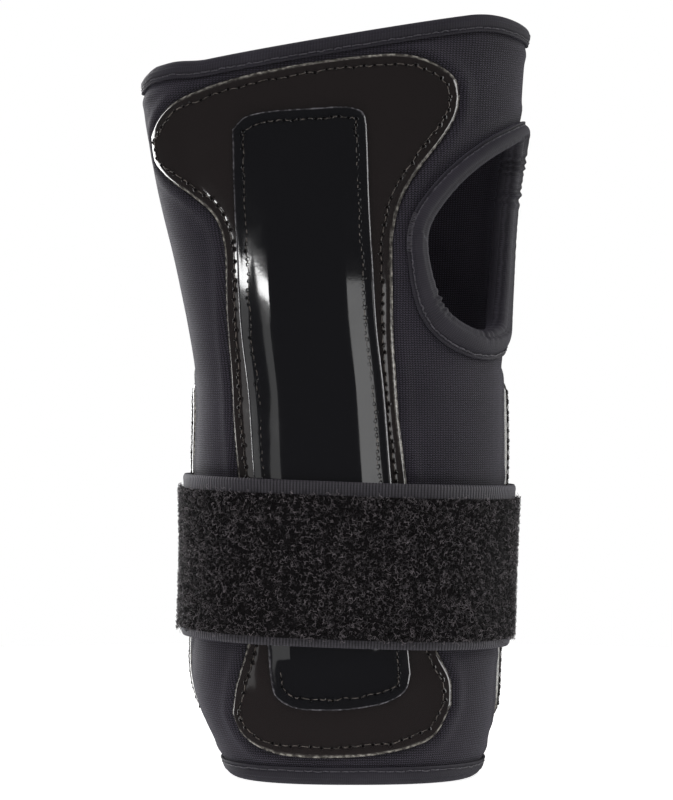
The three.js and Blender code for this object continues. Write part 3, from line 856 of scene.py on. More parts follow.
def folded_section(outer_leg, inner_leg, puff, bulk):
    """Section of a folded binding, as pairs of the distance in from its rolled edge and the
    offset from the sleeve. Its legs lie on the outer and the inner face."""
    outside, inside_face = GAP + bulk, -CLOTH - GAP - bulk
    sew = outer_leg - SEW_INSET
    angle = np.linspace(0, math.pi / 2, 7)
    edge = [(ROUND_IN * (1 - math.cos(a)), outside - ROUND_OUT * (1 - math.sin(a)))
            for a in angle]
    leg = np.concatenate([np.linspace(ROUND_IN, sew - 0.5, 9)[1:],
                          sew + np.array([-0.25, 0, 0.25, 0.55]), [outer_leg]])
    swell = puff * np.sin(np.pi * np.clip((leg - 0.2) / (sew - 0.2), 0, 1)) ** 0.8
    swell = swell - 0.42 * bell(leg, sew, 0.3) - 0.12 * (leg > sew + 0.4)
    outer = [(d, outside + s) for d, s in zip(leg, swell)]
    under = [(outer_leg + 0.05, outside - 0.45), (outer_leg - 0.1, -0.25), (0.9, -0.25),
             (0.9, -CLOTH + 0.25), (inner_leg, -CLOTH + 0.2),
             (inner_leg, inside_face + 0.15)]
    back = [(d, inside_face - 0.15 * math.sin(math.pi * d / inner_leg))
            for d in np.linspace(inner_leg - 0.4, ROUND_IN, 6)]
    corner = [(ROUND_IN * (1 - math.cos(a)), inside_face + ROUND_OUT * (1 - math.sin(a)))
              for a in angle[::-1]]
    return np.array(edge + outer + under + back + corner[:-1])


def closed_length(points):
    """Length of a line of points that closes on itself."""
    return float(np.linalg.norm(np.roll(points, -1, axis=0) - points, axis=1).sum())


def gathers(along, length, spots, pitch):
    """Fine folds across a binding, strongest round the spots, from -1 to 1."""
    strength = 0.12 + sum(
        amount * bell((along - at + length / 2) % length - length / 2, 0, width)
        for at, width, amount in spots)
    drift = 2.1 * np.sin(along / 5.3) + 1.6 * np.sin(along / 2.1 + 0.7)
    folds = np.sin(2 * math.pi * along / pitch + drift)
    uneven = 0.55 + 0.45 * np.sin(along / 1.9 + 2.0 * np.sin(along / 7.0))
    return strength * uneven * (folds + 0.5 * np.sin(2 * math.pi * along / (pitch * 1.7) + 1.0))


HOLE_STEP = 0.1  # between the places that a needle hole can take
BURR_CORNERS = 10


def stitches(line, offset, pitch, seed, size=0.17, wander=0.1, burr=0.0):
    """Lockstitches along a closed line of turns and heights: each a short bent thread that
    rises between two needle holes, and a raised burr round each hole."""
    rng = np.random.default_rng(seed)
    even = even_line(line, HOLE_STEP)
    count = round(len(even) * HOLE_STEP / pitch)
    at = (np.arange(count) + rng.uniform(-0.16, 0.16, count)) * len(even) / count
    turn, z = even[at.round().astype(int) % len(even)].T
    degree = degree_length(turn, z)
    slip = rng.normal(0, wander, (count, 2))
    turn, z = turn + slip[:, 0] / degree, z + slip[:, 1]
    holes = sleeve(turn, z, offset)
    up = outward(turn, z)
    ahead = np.roll(holes, -1, axis=0)
    t = np.linspace(0.07, 0.93, 9)[None, :, None]
    rise = (0.46 * np.sin(math.pi * t) ** 0.6 - 0.3) * (0.75 + 0.5 * rng.random((count, 1, 1)))
    side = np.cross(ahead - holes, up)
    side /= np.linalg.norm(side, axis=-1, keepdims=True)
    sway = side[:, None] * (rng.normal(0, 0.1, (count, 1, 1)) * np.sin(math.pi * t)
                            + rng.normal(0, 0.05, (count, 1, 1)) * np.sin(3 * math.pi * t))
    paths = holes[:, None] * (1 - t) + ahead[:, None] * t + up[:, None] * rise + sway
    thick = size * (0.85 + 0.3 * rng.random((count, 1)))
    threads = tubes(paths, thick, 6, up)
    if not burr:
        return threads, None, None
    angle = np.linspace(0, 2 * math.pi, BURR_CORNERS, endpoint=False)
    ahead_way = np.cross(up, side)
    cos, sin = np.cos(angle)[None, :, None], np.sin(angle)[None, :, None]
    ring = cos * side[:, None] + sin * ahead_way[:, None]
    wide = burr * (0.85 + 0.35 * rng.random((count, 1, 1)))
    rough = 1 + rng.normal(0, 0.12, (count, BURR_CORNERS, 1))
    levels = [(0.6, -0.05), (0.62, 0.2), (0.82, 0.3), (1.12, 0.12), (1.5, -0.03)]
    rows = [holes[:, None] + ring * wide * rough * r + up[:, None] * (h * rough)
            for r, h in levels]
    rings = np.stack(rows, axis=2)
    return threads, rings, (holes, ring, wide, up)


def burr_mesh(rings):
    """Raised rims round needle holes, as open-topped collars closed underneath."""
    count, corners, levels = rings.shape[:3]
    quads, _, _ = quads_of(corners, levels, ring=True, tube=True)
    first = np.arange(count)[:, None, None] * (corners * levels)
    faces = (first + quads[None]).reshape(-1, 4)
    points = rings.reshape(-1, 3)
    return points, outward_faces(points, [(faces, None)])


def hole_shade_lens(spots):
    """Painted shade in each needle hole: a small flat dark lens."""
    holes, ring, wide, up = spots
    rim = holes[:, None] + ring * wide * 0.72
    count, corners = rim.shape[:2]
    upper = rim + up[:, None] * 0.06
    lower = rim - up[:, None] * 0.06
    points = np.concatenate([upper.reshape(-1, 3), lower.reshape(-1, 3)])
    first = np.arange(count)[:, None] * corners
    corner = np.arange(corners)[None]
    top = first + corner
    nxt = first + (corner + 1) % corners
    half = count * corners
    walls = np.stack([top, nxt, nxt + half, top + half], axis=-1).reshape(-1, 4)
    return points, outward_faces(points, [(top, None), (top[:, ::-1] + half, None),
                                          (walls[:, ::-1], None)])


HEM_LEGS, HEM_SEW = (4.6, 3.8), 3.65  # its legs outside and inside, and its stitches


def hem(name, edge, inwards, seed):
    """A binding folded over an end of the sleeve, with its row of stitches. edge gives the
    height of the end, and inwards is the direction from it into the sleeve."""
    shape = folded_section(*HEM_LEGS, 0.25, 0.5)
    turn = np.linspace(0, 360, 900, endpoint=False)
    along = around(turn - 180)
    length = around(180) - around(-180)
    fold = 0.07 * gathers(along, length, [], 2.4)
    inward, offset = shape[None, :, 0], shape[None, :, 1]
    showing = smoothstep(offset, -CLOTH / 2, 0)
    points = sleeve(turn[:, None], edge(turn)[:, None] + inwards * inward,
                    offset + fold[:, None] * showing)
    step = np.cumsum(np.concatenate([[0], np.linalg.norm(np.diff(shape, axis=0), axis=1)]))
    part = hoop(points, length / len(turn), step[-1] / len(shape))
    piece = make_object(name + "_strip", part, [MATERIALS["binding"]])
    settle(piece, "guard", nodes=[name])
    sew = np.stack([turn, edge(turn) + inwards * HEM_SEW], axis=-1)
    threads, _, _ = stitches(sew, GAP + 0.4, 2.3, seed, size=0.13, wander=0.03)
    row = make_object(name + "_stitches", threads, [MATERIALS["dyed"]])
    settle(row, "guard")
    cut = closed_length(sleeve(turn, edge(turn)))


THUMB_LEGS, THUMB_BULK = (6.4, 4.0), 0.95
THUMB_STEP = 0.28  # along the thumb opening, between sections of its binding
LAP_AT, LAP_HEIGHT = 0.32, 1.0  # where its end lies over its start, as a share, and how high
TACK_AT, TACK_THREADS = 0.30, 26  # where the knot beside it begins, and its stitches
# Spots where it gathers most, as shares of its length: how wide in millimetres, how strongly.
THUMB_GATHERS = [(0.93, 9.0, 1.6), (0.56, 8.0, 0.5), (0.45, 5.0, 0.8)]
# How far its outer leg reaches, at shares of its length.
THUMB_WIDTHS = [(0.0, 5.4), (0.18, 5.2), (0.36, 5.6), (0.5, 7.6), (0.66, 7.4), (0.8, 5.2),
                (1.0, 5.4)]


def thumb_binding():
    """The soft binding rolled round the thumb opening, gathered at its tight bends."""
    line = even_line(THUMB_LINE, THUMB_STEP)
    count = len(line)
    share = np.arange(count) / count
    width = np.interp(share, *zip(*THUMB_WIDTHS))
    shape = folded_section(*THUMB_LEGS, 1.3, THUMB_BULK)
    length = count * THUMB_STEP
    along = share * length
    spots = [(at * length, wide, strong) for at, wide, strong in THUMB_GATHERS]
    fold = gathers(along, length, spots, 2.0)
    rows = []
    for inward, offset in shape:
        past_roll = (inward - ROUND_IN) / (THUMB_LEGS[0] - ROUND_IN)
        stretch = np.where(inward > ROUND_IN, past_roll * (width - ROUND_IN) + ROUND_IN, inward)
        inner = 1 - smoothstep(inward, 0.5, 4.5)
        place = beside(line, stretch - 0.28 * fold * inner)
        lapped = lap(along - LAP_AT * length, inward) * smoothstep(offset, 0.0, GAP + 0.9)
        rows.append(sleeve(place[:, 0], place[:, 1], offset + 0.25 * fold * inner + lapped))
    points = np.stack(rows, axis=1)
    part = hoop(points, THUMB_STEP, 0.62)
    piece = make_object("thumb_binding_strip", part, [MATERIALS["binding"]])
    settle(piece, "guard", nodes=["thumb_binding"])
    sew = beside(line, width - SEW_INSET)
    threads, _, _ = stitches(sew, GAP + THUMB_BULK, 1.9, 31, size=0.17, wander=0.04)
    row = make_object("thumb_binding_stitches", join([threads, bar_tack(line, width)]),
                      [MATERIALS["dyed"]])
    settle(row, "guard")


def lap(past, inward):
    """How far the binding's rounded end stands up where it lies over its beginning."""
    end = past - 0.45 * (inward - 2.9) ** 2
    height = smoothstep(end, 0.0, 0.3) * (1 - smoothstep(past, 5.0, 22.0))
    return LAP_HEIGHT * height * (1 - smoothstep(inward, 4.3, 5.3))


def bar_tack(line, width):
    """The dense knot of stitches where the two ends of the thumb binding overlap."""
    rng = np.random.default_rng(7)
    picks = int(TACK_AT * len(line)) + np.arange(TACK_THREADS)
    ends = []
    for away in (0.2, -1.5):
        place = beside(line, width + away)[picks]
        height = GAP + THUMB_BULK + rng.uniform(0, 0.2, len(picks))
        ends.append(sleeve(place[:, 0], place[:, 1], height))
    up = outward(line[picks, 0], line[picks, 1])
    middle = (ends[0] + ends[1]) / 2 + up * 0.25 + rng.normal(0, 0.15, ends[0].shape)
    return tubes(np.stack([ends[0], middle, ends[1]], axis=1), 0.13, 5, up)


# ---- Splint plates ------------------------------------------------------------------------

def ramp(distance, low, high, ease):
    """Rises from 0 at low to 1 at high on an even slope with eased ends."""
    at = np.linspace(low, high, 200)
    slope = smoothstep(at, low, low + ease) * (1 - smoothstep(at, high - ease, high))
    rise = np.cumsum(slope)
    return np.interp(distance, at, rise / rise[-1])


# Where a cover plate rises over its bar: from and to these distances from its sides and from
# its ends, and how far the slope's own ends are eased.
SIDE_SLOPE = (3.3, 9.6, 0.8)
END_SLOPE = (5.2, 12.5, 2.0)


def crown(u, v, width, height):
    """How far a cover plate is formed up over its bar, with flat flanks along both sides."""
    from_side = np.minimum(u, 1 - u) * width
    from_end = np.minimum(v, 1 - v) * height
    return CROWN * ramp(from_side, *SIDE_SLOPE) * ramp(from_end, *END_SLOPE)


EDGE_STEP, MIDDLE_STEPS = 0.2, (1.1, 1.4)  # a plate's grid, across it and up it


def plate(name, shape, spacing, seat, bevel, curl, material):
    """A plate cut from sheet plastic, with a bevelled edge. spacing is its width and height,
    seat gives the offset of its underside, bevel is how wide and how deep, and curl is how
    far the stitches pull its edge down into the cloth."""
    wide, deep = bevel
    u, v = (edge_spaced(length, EDGE_STEP, step) for length, step in zip(spacing, MIDDLE_STEPS))
    place = shape.within(u, v)
    turn, z = place[..., 0], place[..., 1]
    face = sleeve(turn, z)
    away = distance_to(shape.loop, face)
    rim = 1 - np.clip(away / wide, 0, 1)
    lift = seat(u[:, None], v[None, :]) - curl * (1 - np.clip(away / STITCH_INSET, 0, 1))
    top = sleeve(turn, z, lift + PLATE - deep * rim)
    bottom = sleeve(turn, z, lift * np.ones_like(z))
    part = slab(top, bottom, unrolled(turn, z))
    # rim marks the bevel, where the material paints the paler edge, partly as a painted
    # highlight.
    mark = np.clip(rim * 3, 0, 1).ravel()
    piece = make_object(name + "_sheet", part, [material],
                        values={"rim": np.concatenate([mark, mark])})
    return settle(piece, "guard", nodes=[name])


def plate_stitching(name, shape, offset, pitch, seed, plastic):
    """A plate's lockstitch row with its needle burrs, and a dark lens in each hole as
    painted shade.
    """
    line = beside(shape.loop, -STITCH_INSET)
    threads, rings, spots = stitches(line, offset, pitch, seed, size=0.125, wander=0.16,
                                     burr=0.5)
    burrs, holes = burr_mesh(rings), hole_shade_lens(spots)
    part = join([threads, burrs, holes])
    # The hole lenses take the dark loop ground material, as painted shade in the holes.
    picks = [0] * len(threads[1]) + [1] * len(burrs[1]) + [2] * len(holes[1])
    piece = make_object(name + "_row", part,
                        [MATERIALS["thread"], plastic, MATERIALS["ground"]], picks=picks)
    return settle(piece, "guard", nodes=[name])


# Bevel of a plate's edge, wide and deep, how far its stitches pull it down, and their pitch.
BASE_BEVEL, BASE_CURL, BASE_PITCH = (0.8, 0.65), 0.6, 2.5
COVER_BEVEL, COVER_CURL, COVER_PITCH = (0.4, 0.4), 0.1, 2.0


def splint(side, base, cover, base_size, cover_size, seed):
    """A base plate, the cover plate heat-formed over its bar, and both stitch rows."""
    plate(f"{side}_base_plate", base, base_size, lambda u, v: BASE_SEAT + 0 * u * v,
          BASE_BEVEL, BASE_CURL, MATERIALS["base"])
    plate(f"{side}_cover_plate", cover, cover_size,
          lambda u, v: COVER_SEAT + crown(u, v, *cover_size),
          COVER_BEVEL, COVER_CURL, MATERIALS["cover"])
    plate_stitching(f"{side}_base_stitching", base, BASE_SEAT + PLATE, BASE_PITCH, seed,
                    MATERIALS["base"])
    plate_stitching(f"{side}_cover_stitching", cover, COVER_SEAT + PLATE, COVER_PITCH,
                    seed + 1, MATERIALS["cover"])
    bar = frame["nodes"][f"{side}_stay"]
    bar.data.materials.clear()
    bar.data.materials.append(MATERIALS["stay"])


# ---- Strap --------------------------------------------------------------------------------

HOOK_SEAT = BAND + PILE + 2 * GAP
OVERLAP = HOOK_SEAT + PILE + GAP
PILE_SEAT = BAND + GAP
FREE_TURN = 32  # where the strap comes out from under its own end
FOLD_REACH = 7  # degrees over which the strap bends on each side of a fold
TAB_REACH = 2  # the same for its finger tab
BRIDGE = (26, 66)  # degrees from the middle of a face, over which the strap comes down from it
CURL_STEPS, CURL_SIDES = 6, 3  # points along a filament, and round it
HOOK_RADII = [0.14, 0.12, 0.1, 0.1, 0.08]  # from a hook's root to its tip
# Corners of sewn boxes: the anchor's as turns and heights, the finger tab's as turns and
# millimetres up from the strap's middle.
ANCHOR_BOX = [[86, 40], [95, 40], [95, 72], [86, 72]]
TAB_BOX = [[41.5, -18], [41.5, 18], [40.4, 18], [40.4, -18]]


def strap_seat(turn):
    """Offset of the strap's inner face at a turn, where it bridges the plates."""
    from_middle = np.abs(np.abs((turn + 180) % 360 - 180) - 90)
    return PLATE + 3 * GAP + THREAD + (PLATE + CROWN) * (1 - smoothstep(from_middle, *BRIDGE))


def end_seat(turn):
    """The same for the strap's end, lifted to lie on the part that is sewn down."""
    return strap_seat(turn) + OVERLAP * (1 - smoothstep(turn, STRAP_ANCHOR + 3, TAIL_END - 1))


def on_strap(turn, across, seat, offset):
    """Points on the strap: across is millimetres up from its middle line."""
    return sleeve(turn, strap_middle(turn) + across, seat(turn) + offset)


def strap_grid(start, end, height, shift, column, row):
    """Turns, and millimetres up from the strap's middle, of a grid on a stretch of it."""
    arc = arc_between(start, end)
    turn = np.linspace(start, end, round(arc / column) + 1)[:, None]
    across = np.linspace(-height / 2, height / 2, round(height / row) + 1)[None, :] + shift
    return np.broadcast_arrays(turn, across)


def band(name, start, end, seat, height=BAND_HEIGHT, thickness=BAND):
    """A length of knitted elastic with soft, slightly rolled edges."""
    turn, across = strap_grid(start, end, height, 0, 0.9, 0.6)
    to_edge = height / 2 - np.abs(across)
    rolled = 0.12 * bell(to_edge, 0.9, 0.8) - 0.35 * bell(to_edge, 0, 0.5)
    wave = 0.1 * np.sin(around(turn) / 3.1) * bell(to_edge, 0, 3)
    outer = on_strap(turn, across, seat, thickness + rolled + wave)
    inner = on_strap(turn, across, seat, 0.35 * bell(to_edge, 0, 0.5) + wave)
    pattern = unrolled(turn, across)
    return make_object(name, slab(outer, inner, pattern), [MATERIALS["elastic"]])


def squeezed(turn):
    """1 where the strap lies under its own end, and 0 where its loops stand free."""
    return (smoothstep(turn, FREE_TURN - 2, FREE_TURN + 2)
            * (1 - smoothstep(turn, STRAP_ANCHOR + 3, STRAP_ANCHOR + 8)))


def nap(name, start, end, seat, under_end):
    """The ground of the loop tape: a lumpy felted layer."""
    height = PILE_HEIGHT - 1.0
    turn, across = strap_grid(start, end, height, PILE_SHIFT, 0.6, 0.6)
    rng = np.random.default_rng(len(name) + int(abs(start)))
    lumps = rng.normal(0, 0.09, turn.shape)
    lumps = (lumps + np.roll(lumps, 1, 0) + np.roll(lumps, 1, 1) + np.roll(lumps, 1, (0, 1))) / 2
    to_edge = height / 2 - np.abs(across - PILE_SHIFT)
    thick = 0.75 - 0.45 * bell(to_edge, 0, 0.7) + lumps
    if under_end:
        thick = thick * (1 - 0.35 * squeezed(turn))
    outer = on_strap(turn, across, seat, PILE_SEAT - 0.2 + thick)
    inner = on_strap(turn, across, seat, PILE_SEAT - 0.4 + 0 * thick)
    pattern = unrolled(turn, across)
    return make_object(name, slab(outer, inner, pattern), [MATERIALS["ground"]])


def curls(name, start, end, seat, density, under_end, seed):
    """Curly brushed filaments standing on a stretch of the loop tape. Real ones are finer and
    many more."""
    rng = np.random.default_rng(seed)
    arc = arc_between(start, end)
    count = int(arc * PILE_HEIGHT * density)
    turn = start + (end - start) * rng.random(count)
    across = rng.uniform(-0.5, 0.5, count) * (PILE_HEIGHT - 0.8) + PILE_SHIFT
    across += rng.normal(0, 0.28, count)
    root = on_strap(turn, across, seat, PILE_SEAT + 0.25)
    up = outward(turn, strap_middle(turn) + across)
    east = np.cross(up, [0.0, 0.0, 1.0])
    way = rng.uniform(0, 2 * math.pi, count)
    ahead = east * np.cos(way)[:, None] + np.array([0, 0, 1.0]) * np.sin(way)[:, None]
    aside = np.cross(up, ahead)
    press = 1 - 0.8 * squeezed(turn) if under_end else np.ones(count)
    tall = rng.uniform(0.35, 1.15, count) * press
    reach = rng.uniform(0.4, 1.5, count)
    curl = rng.uniform(0.1, 0.42, count) * rng.choice([-1, 1], count)
    t = np.linspace(0, 1, CURL_STEPS)[None, :, None]
    swell = np.sin(math.pi * 0.82 * t)
    paths = (root[:, None] + up[:, None] * swell * tall[:, None, None]
             + ahead[:, None] * (t * reach[:, None, None])
             + aside[:, None] * (np.sin(2.4 * math.pi * t) * curl[:, None, None]))
    taper = np.linspace(1, 0.6, CURL_STEPS)[None, :]
    thick = rng.uniform(0.045, 0.075, count)[:, None] * taper
    # Mostly dark filaments and a few light ones: random tone, with the light ones partly a
    # painted highlight.
    shade = np.repeat(rng.random(count) ** 3.0, CURL_STEPS * CURL_SIDES)
    return make_object(name, tubes(paths, thick, CURL_SIDES, up), [MATERIALS["loops"]],
                       values={"shade": shade})


def fold_at(joint_name, turn_a, turn_b, seat):
    """The bend between two lengths of the strap, from the joint that they share."""
    joint = next(j for j in frame["joints"] if j["name"] == joint_name)
    places = [Vector(to_frame(on_strap(np.array(t, float), 0.0, seat, BAND / 2)))
              for t in (turn_a, turn_b)]
    return {"parent": joint["parent"], "child": joint["child"],
            "start": places[0], "end": places[1]}


def finger_tab():
    """The strap's free end: one thicker length of the elastic, sewn across to be gripped. It
    stands for a fold, whose two layers aren't made."""
    lift = fold_at("finger_tab_lift", TAB_START + TAB_REACH, TAB_START - TAB_REACH, end_seat)
    tab = band("finger_tab_elastic", TAB_START + TAB_REACH, TAB_END, end_seat,
               BAND_HEIGHT - 2, BAND + 0.3)
    settle(tab, fold=lift, nodes=["finger_tab"])
    line = np.array(TAB_BOX, float)
    line[:, 1] += strap_middle(line[:, 0])
    top = float(end_seat(np.array(41.0))) + BAND + 0.35
    rows, _, _ = stitches(line, top, 2.4, 61, size=0.15, wander=0.03)
    sewn = make_object("finger_tab_stitches", rows, [MATERIALS["thread"]])
    settle(sewn, fold=lift)
    return [tab, sewn]


# ---- Add-on -------------------------------------------------------------------------------

def colour(name, text, value):
    """A colour property that starts at an sRGB hex value."""
    return FloatVectorProperty(name=name, description=text, subtype="COLOR", size=3,
                               default=linear(value)[:3], min=0.0, max=1.0)


class GuardColours(bpy.types.PropertyGroup):
    """Colours of the guard's materials"""
    cloth: colour("Sleeve", "Raised loops of the sleeve's knit", "#3f3b46")
    binding: colour("Bindings", "Folded stretch bindings", "#38353d")
    base: colour("Base plates", "Polished base plates", "#1b1717")
    cover: colour("Cover plates", "Heat-formed cover plates", "#0c0c0f")
    stay: colour("Stays", "Aluminium bars between the plates", "#b4b7bb")
    thread: colour("Thread", "Sewing thread", "#605852")
    elastic: colour("Elastic", "Knitted elastic of the strap", "#343137")
    # The lightest filaments stand partly for glints, as a painted highlight.
    pile: colour("Loop pile", "Lightest filaments of the loop pile", "#857e82")


class GuardSizes(bpy.types.PropertyGroup):
    """How fine and how dense the strap's loops and hooks are"""
    pile_density: FloatProperty(
        name="Pile density", description="Filaments on each square millimetre of loop tape",
        default=4.2, min=0.5, max=8.0)
    covered_density: FloatProperty(
        name="Covered density", description="The same where the strap lies under its end",
        default=1.2, min=0.2, max=8.0)
    hook_pitch: FloatProperty(
        name="Hook pitch", description="Distance between moulded hooks", subtype="DISTANCE",
        default=1.5 * MM, min=1.0 * MM, max=4.0 * MM)
    pile_pieces: IntProperty(
        name="Pile pieces", description="Pieces that the free front pile is made in",
        default=3, min=1, max=6)


class WRISTGUARD_OT_panels(bpy.types.Operator):
    """Sews the two knit-faced neoprene panels of the sleeve"""
    bl_idname = "wrist_guard.panels"
    bl_label = "Sleeve panels"

    def execute(self, context):
        panel("palm_panel", LITTLE_SEAM - 360, THUMB_SEAM)
        panel("back_panel", THUMB_SEAM, LITTLE_SEAM)
        return {"FINISHED"}


class WRISTGUARD_OT_seams(bpy.types.Operator):
    """Stitches the flat seams of the sleeve"""
    bl_idname = "wrist_guard.seams"
    bl_label = "Seams"

    def execute(self, context):
        for name in ("little_finger_seam", "thumb_seam_lower", "thumb_seam_upper"):
            low, high = (corner.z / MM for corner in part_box(name))
            zigzag_seam(name, LITTLE_SEAM if "little" in name else THUMB_SEAM, low, high)
        return {"FINISHED"}


class WRISTGUARD_OT_bindings(bpy.types.Operator):
    """Folds and sews the bindings of the hand end, the cuff and the thumb opening"""
    bl_idname = "wrist_guard.bindings"
    bl_label = "Bindings"

    def execute(self, context):
        hem("hand_binding", hand_edge, -1, 11)
        hem("cuff_binding", lambda turn: 0 * turn, 1, 12)
        thumb_binding()
        return {"FINISHED"}


class WRISTGUARD_OT_splints(bpy.types.Operator):
    """Cuts, forms and sews the splint plates of the palm and the back"""
    bl_idname = "wrist_guard.splints"
    bl_label = "Splint plates"

    def execute(self, context):
        splint("palm", PALM_BASE_LINE, PALM_COVER_LINE, (60, 175), (34, 148), 41)
        splint("back", BACK_BASE_LINE, BACK_COVER_LINE, (150, 90), (34, 76), 51)
        return {"FINISHED"}


class WRISTGUARD_OT_strap(bpy.types.Operator):
    """Cuts the strap's knitted elastic, sews its loop pile on and adds its finger tab"""
    bl_idname = "wrist_guard.strap"
    bl_label = "Strap"

    def execute(self, context):
        sizes = context.scene.wrist_guard_sizes
        swing = fold_at("strap_tail_swing", TAIL_START + 360 + FOLD_REACH,
                        TAIL_START + 360 - FOLD_REACH, strap_seat)
        peel = fold_at("strap_end_peel", TAIL_END + FOLD_REACH, TAIL_END - FOLD_REACH,
                       end_seat)
        front_end = TAIL_START + FOLD_REACH
        tail_start, tail_end = front_end + 360, TAIL_END + FOLD_REACH
        stretches = [
            ("strap_front", STRAP_ANCHOR, front_end, strap_seat, None, (0.0414, 0.1815)),
            ("strap_tail", tail_start, tail_end, strap_seat, swing, (0.0414, 0.036)),
            ("strap_end", tail_end, TAB_START + TAB_REACH, end_seat, peel, (0.0414, 0.0675)),
        ]
        for name, start, end, seat, fold, flat in stretches:
            elastic = band(f"{name}_elastic", start, end, seat)
            settle(elastic, "guard", fold, [f"{name}_band"])
            stop = HOOK_END if name == "strap_end" else end
            front = name == "strap_front"
            ground = nap(f"{name}_ground", start, stop, seat, front)
            settle(ground, "guard", fold, [f"{name}_pile"])
            fur = []
            if front:
                covered = curls("strap_front_loops_covered", start, FREE_TURN, seat,
                                sizes.covered_density, True, 70)
                fur.append(covered)
                cuts = np.linspace(FREE_TURN, end, sizes.pile_pieces + 1)
                for k, (a, b) in enumerate(zip(cuts, cuts[1:])):
                    fur.append(curls(f"strap_front_loops_{k + 1}", a, b, seat,
                                     sizes.pile_density, True, 71 + k))
            else:
                fur.append(curls(f"{name}_loops", start, stop, seat,
                                 sizes.pile_density * 0.8, False, 80 + len(name)))
            for hairs in fur:
                settle(hairs, "guard", fold)
            tab = finger_tab() if name == "strap_end" else []
        return {"FINISHED"}


class WRISTGUARD_OT_closure(bpy.types.Operator):
    """Moulds the hook patch and sews the strap's anchor"""
    bl_idname = "wrist_guard.closure"
    bl_label = "Closure"

    def execute(self, context):
        pitch = context.scene.wrist_guard_sizes.hook_pitch / MM
        turn, across = strap_grid(HOOK_START, HOOK_END, PILE_HEIGHT, 0, 1.0, 1.0)
        outer = on_strap(turn, across, strap_seat, HOOK_SEAT + PILE)
        inner = on_strap(turn, across, strap_seat, HOOK_SEAT + 0.55)
        pattern = unrolled(turn, across)
        tape = slab(outer, inner, pattern)
        spots, rows = strap_grid(HOOK_START - 1, HOOK_END + 1, PILE_HEIGHT - 2, 0, pitch, pitch)
        spots, rows = spots.ravel(), rows.ravel()
        root = on_strap(spots, rows, strap_seat, HOOK_SEAT + 0.6)
        up = outward(spots, strap_middle(spots) + rows)
        t = np.linspace(0, 1, len(HOOK_RADII))[None, :, None]
        lean = np.cross(up, [0.0, 0.0, 1.0])[:, None] * (0.5 * t**2)
        hooks = tubes(root[:, None] - up[:, None] * (0.5 * np.sin(1.9 * t)) + lean,
                      np.array(HOOK_RADII)[None], 5, up + [0, 0, 0.3])
        patch = make_object("hook_patch_tape", join([tape, hooks]), [MATERIALS["hooks"]])
        settle(patch, "strap_end", nodes=["hook_patch"])

        box = np.array(ANCHOR_BOX, float)
        top = float(strap_seat(np.array(90.0))) + PILE_SEAT + 0.75
        knots, _, _ = stitches(box, top, 2.2, 62, size=0.2, wander=0.04)
        anchor = make_object("strap_anchor_box", knots, [MATERIALS["thread"]])
        settle(anchor, "guard", nodes=["strap_anchor_stitching"])
        return {"FINISHED"}


# Name, azimuth and elevation of the lamp's middle, distance, width, height, radiance, whether
# the gloss shows it, and whether it lights matt surfaces.
LIGHTS = [
    ("left_key", -46, 5.5, 1.3, 0.34, 0.074, 26.0, True, True),
    ("left_strip", -47, -2, 1.32, 0.3, 0.5, 1.0, True, True),
    ("right_strip", 28, 2.6, 1.3, 0.2, 0.4, 3.0, True, True),
    ("left_edge_strip", -138, 8, 1.2, 0.75, 1.3, 8.0, True, False),
    ("right_edge_strip", 100, 8, 1.2, 0.7, 1.3, 6.0, True, False),
    ("overhead", -5, 62, 1.5, 1.6, 1.2, 2.7, False, True),
    ("front_fill", 10, 20, 1.8, 1.6, 1.2, 0.6, False, True),
]
FLOOR_RADIUS, FLOOR_CORNERS = 400, 96
# In metres: the camera's height, its distance from the guard, and how tall its view is there.
EYE_HEIGHT, EYE_DISTANCE, VIEW_HEIGHT = 0.097, 0.75, 0.208


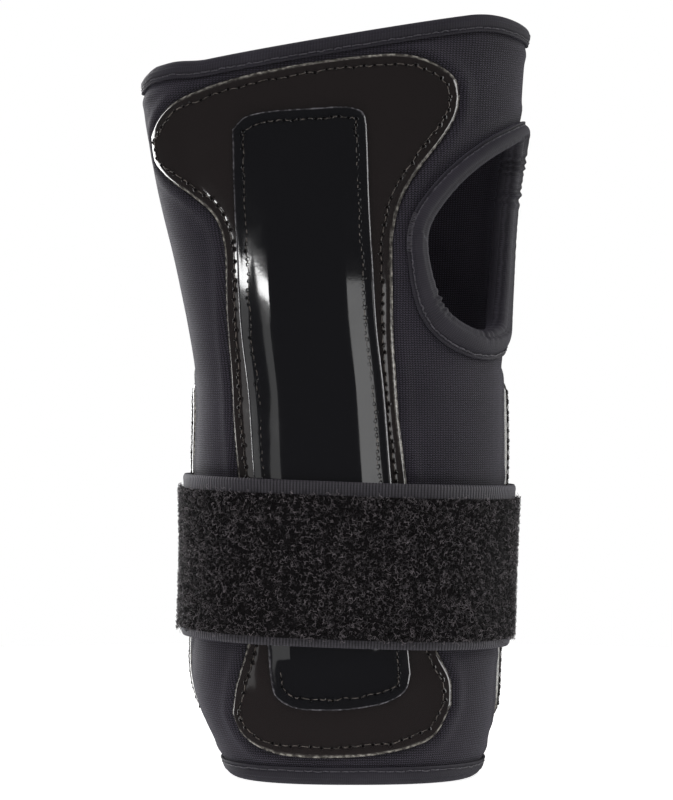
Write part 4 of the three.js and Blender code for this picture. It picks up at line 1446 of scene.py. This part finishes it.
class WRISTGUARD_OT_stage(bpy.types.Operator):
    """Lays the pale floor and sets the lights and the camera"""
    bl_idname = "wrist_guard.stage"
    bl_label = "Stage"

    def execute(self, context):
        scene = context.scene
        middle = Vector((0.0, CENTRE_SHIFT[1] * MM, EYE_HEIGHT))
        turn = np.linspace(0, 2 * math.pi, FLOOR_CORNERS, endpoint=False)
        rim = np.stack([np.cos(turn), np.sin(turn), 0 * turn], axis=-1) * FLOOR_RADIUS
        top, bottom = rim - [0, 0, 0.2], rim - [0, 0, 4]
        corner = np.arange(FLOOR_CORNERS)
        after = (corner + 1) % FLOOR_CORNERS
        walls = np.stack([corner, after, after + FLOOR_CORNERS, corner + FLOOR_CORNERS], 1)
        points = np.concatenate([top, bottom]) - CENTRE_SHIFT
        disc = (points, outward_faces(points, [
            (corner[None], None), (corner[None, ::-1] + FLOOR_CORNERS, None),
            (walls[:, ::-1], None)]))
        floor = make_object("floor", disc, [seamless_paper()])
        floor.visible_glossy = False
        for name, azimuth, elevation, distance, width, height, radiance, *shown in LIGHTS:
            lamp = bpy.data.lights.new(name, "AREA")
            lamp.shape = "RECTANGLE"
            lamp.size, lamp.size_y = width, height
            lamp.energy = radiance * math.pi * width * height
            a, e = math.radians(azimuth), math.radians(elevation)
            way = Vector((math.sin(a) * math.cos(e), -math.cos(a) * math.cos(e), math.sin(e)))
            holder = bpy.data.objects.new(name, lamp)
            holder.location = middle + way * distance
            holder.rotation_euler = way.to_track_quat("Z", "Y").to_euler()
            holder.visible_glossy, holder.visible_diffuse = shown
            scene.collection.objects.link(holder)
        lens = bpy.data.cameras.new("camera")
        lens.sensor_width = 36
        lens.lens = lens.sensor_width * EYE_DISTANCE / VIEW_HEIGHT
        camera = bpy.data.objects.new("camera", lens)
        camera.location = middle - Vector((0, EYE_DISTANCE, 0))
        camera.rotation_euler = (math.radians(90), 0, 0)
        scene.collection.objects.link(camera)
        scene.camera = camera
        scene.view_settings.view_transform = "Standard"
        self.surroundings(scene)
        return {"FINISHED"}

    def surroundings(self, scene):
        """A white background, and a dim room all round for everything but the view."""
        world = bpy.data.worlds.new("studio")
        world.use_nodes = True
        tree = world.node_tree
        scene.world = world
        backdrop = tree.nodes["Background"]
        seen = add_node(tree, "LightPath").node.outputs["Is Camera Ray"]
        level = add_node(tree, "MapRange", {0: seen, 3: 0.12, 4: 1.0})
        tree.links.new(level, backdrop.inputs["Strength"])
        backdrop.inputs["Color"].default_value = (1, 1, 1, 1)


class WRISTGUARD_PT_panel(bpy.types.Panel):
    """The sidebar's panel, with every setting and every operator"""
    bl_idname = "WRISTGUARD_PT_panel"
    bl_label = "Wrist guard"
    bl_space_type = "VIEW_3D"
    bl_region_type = "UI"
    bl_category = "Wrist guard"

    def draw(self, context):
        for group in (context.scene.wrist_guard_colours, context.scene.wrist_guard_sizes):
            for key in group.__annotations__:
                self.layout.prop(group, key)
        for operator in OPERATORS:
            self.layout.operator(operator.bl_idname)


OPERATORS = (WRISTGUARD_OT_panels, WRISTGUARD_OT_seams, WRISTGUARD_OT_bindings,
             WRISTGUARD_OT_splints, WRISTGUARD_OT_strap, WRISTGUARD_OT_closure,
             WRISTGUARD_OT_stage)
CLASSES = (GuardColours, GuardSizes, *OPERATORS, WRISTGUARD_PT_panel)


def register():
    """Adds the operators, the panel and the settings to Blender."""
    for cls in CLASSES:
        bpy.utils.register_class(cls)
    bpy.types.Scene.wrist_guard_colours = PointerProperty(type=GuardColours)
    bpy.types.Scene.wrist_guard_sizes = PointerProperty(type=GuardSizes)


def unregister():
    """Takes them out again."""
    del bpy.types.Scene.wrist_guard_sizes
    del bpy.types.Scene.wrist_guard_colours
    for cls in reversed(CLASSES):
        bpy.utils.unregister_class(cls)


def main():
    register()
    make_materials(bpy.context.scene.wrist_guard_colours)
    for operator in OPERATORS:
        group, name = operator.bl_idname.split(".")
        getattr(getattr(bpy.ops, group), name)()


if __name__ == "__main__":
    main()
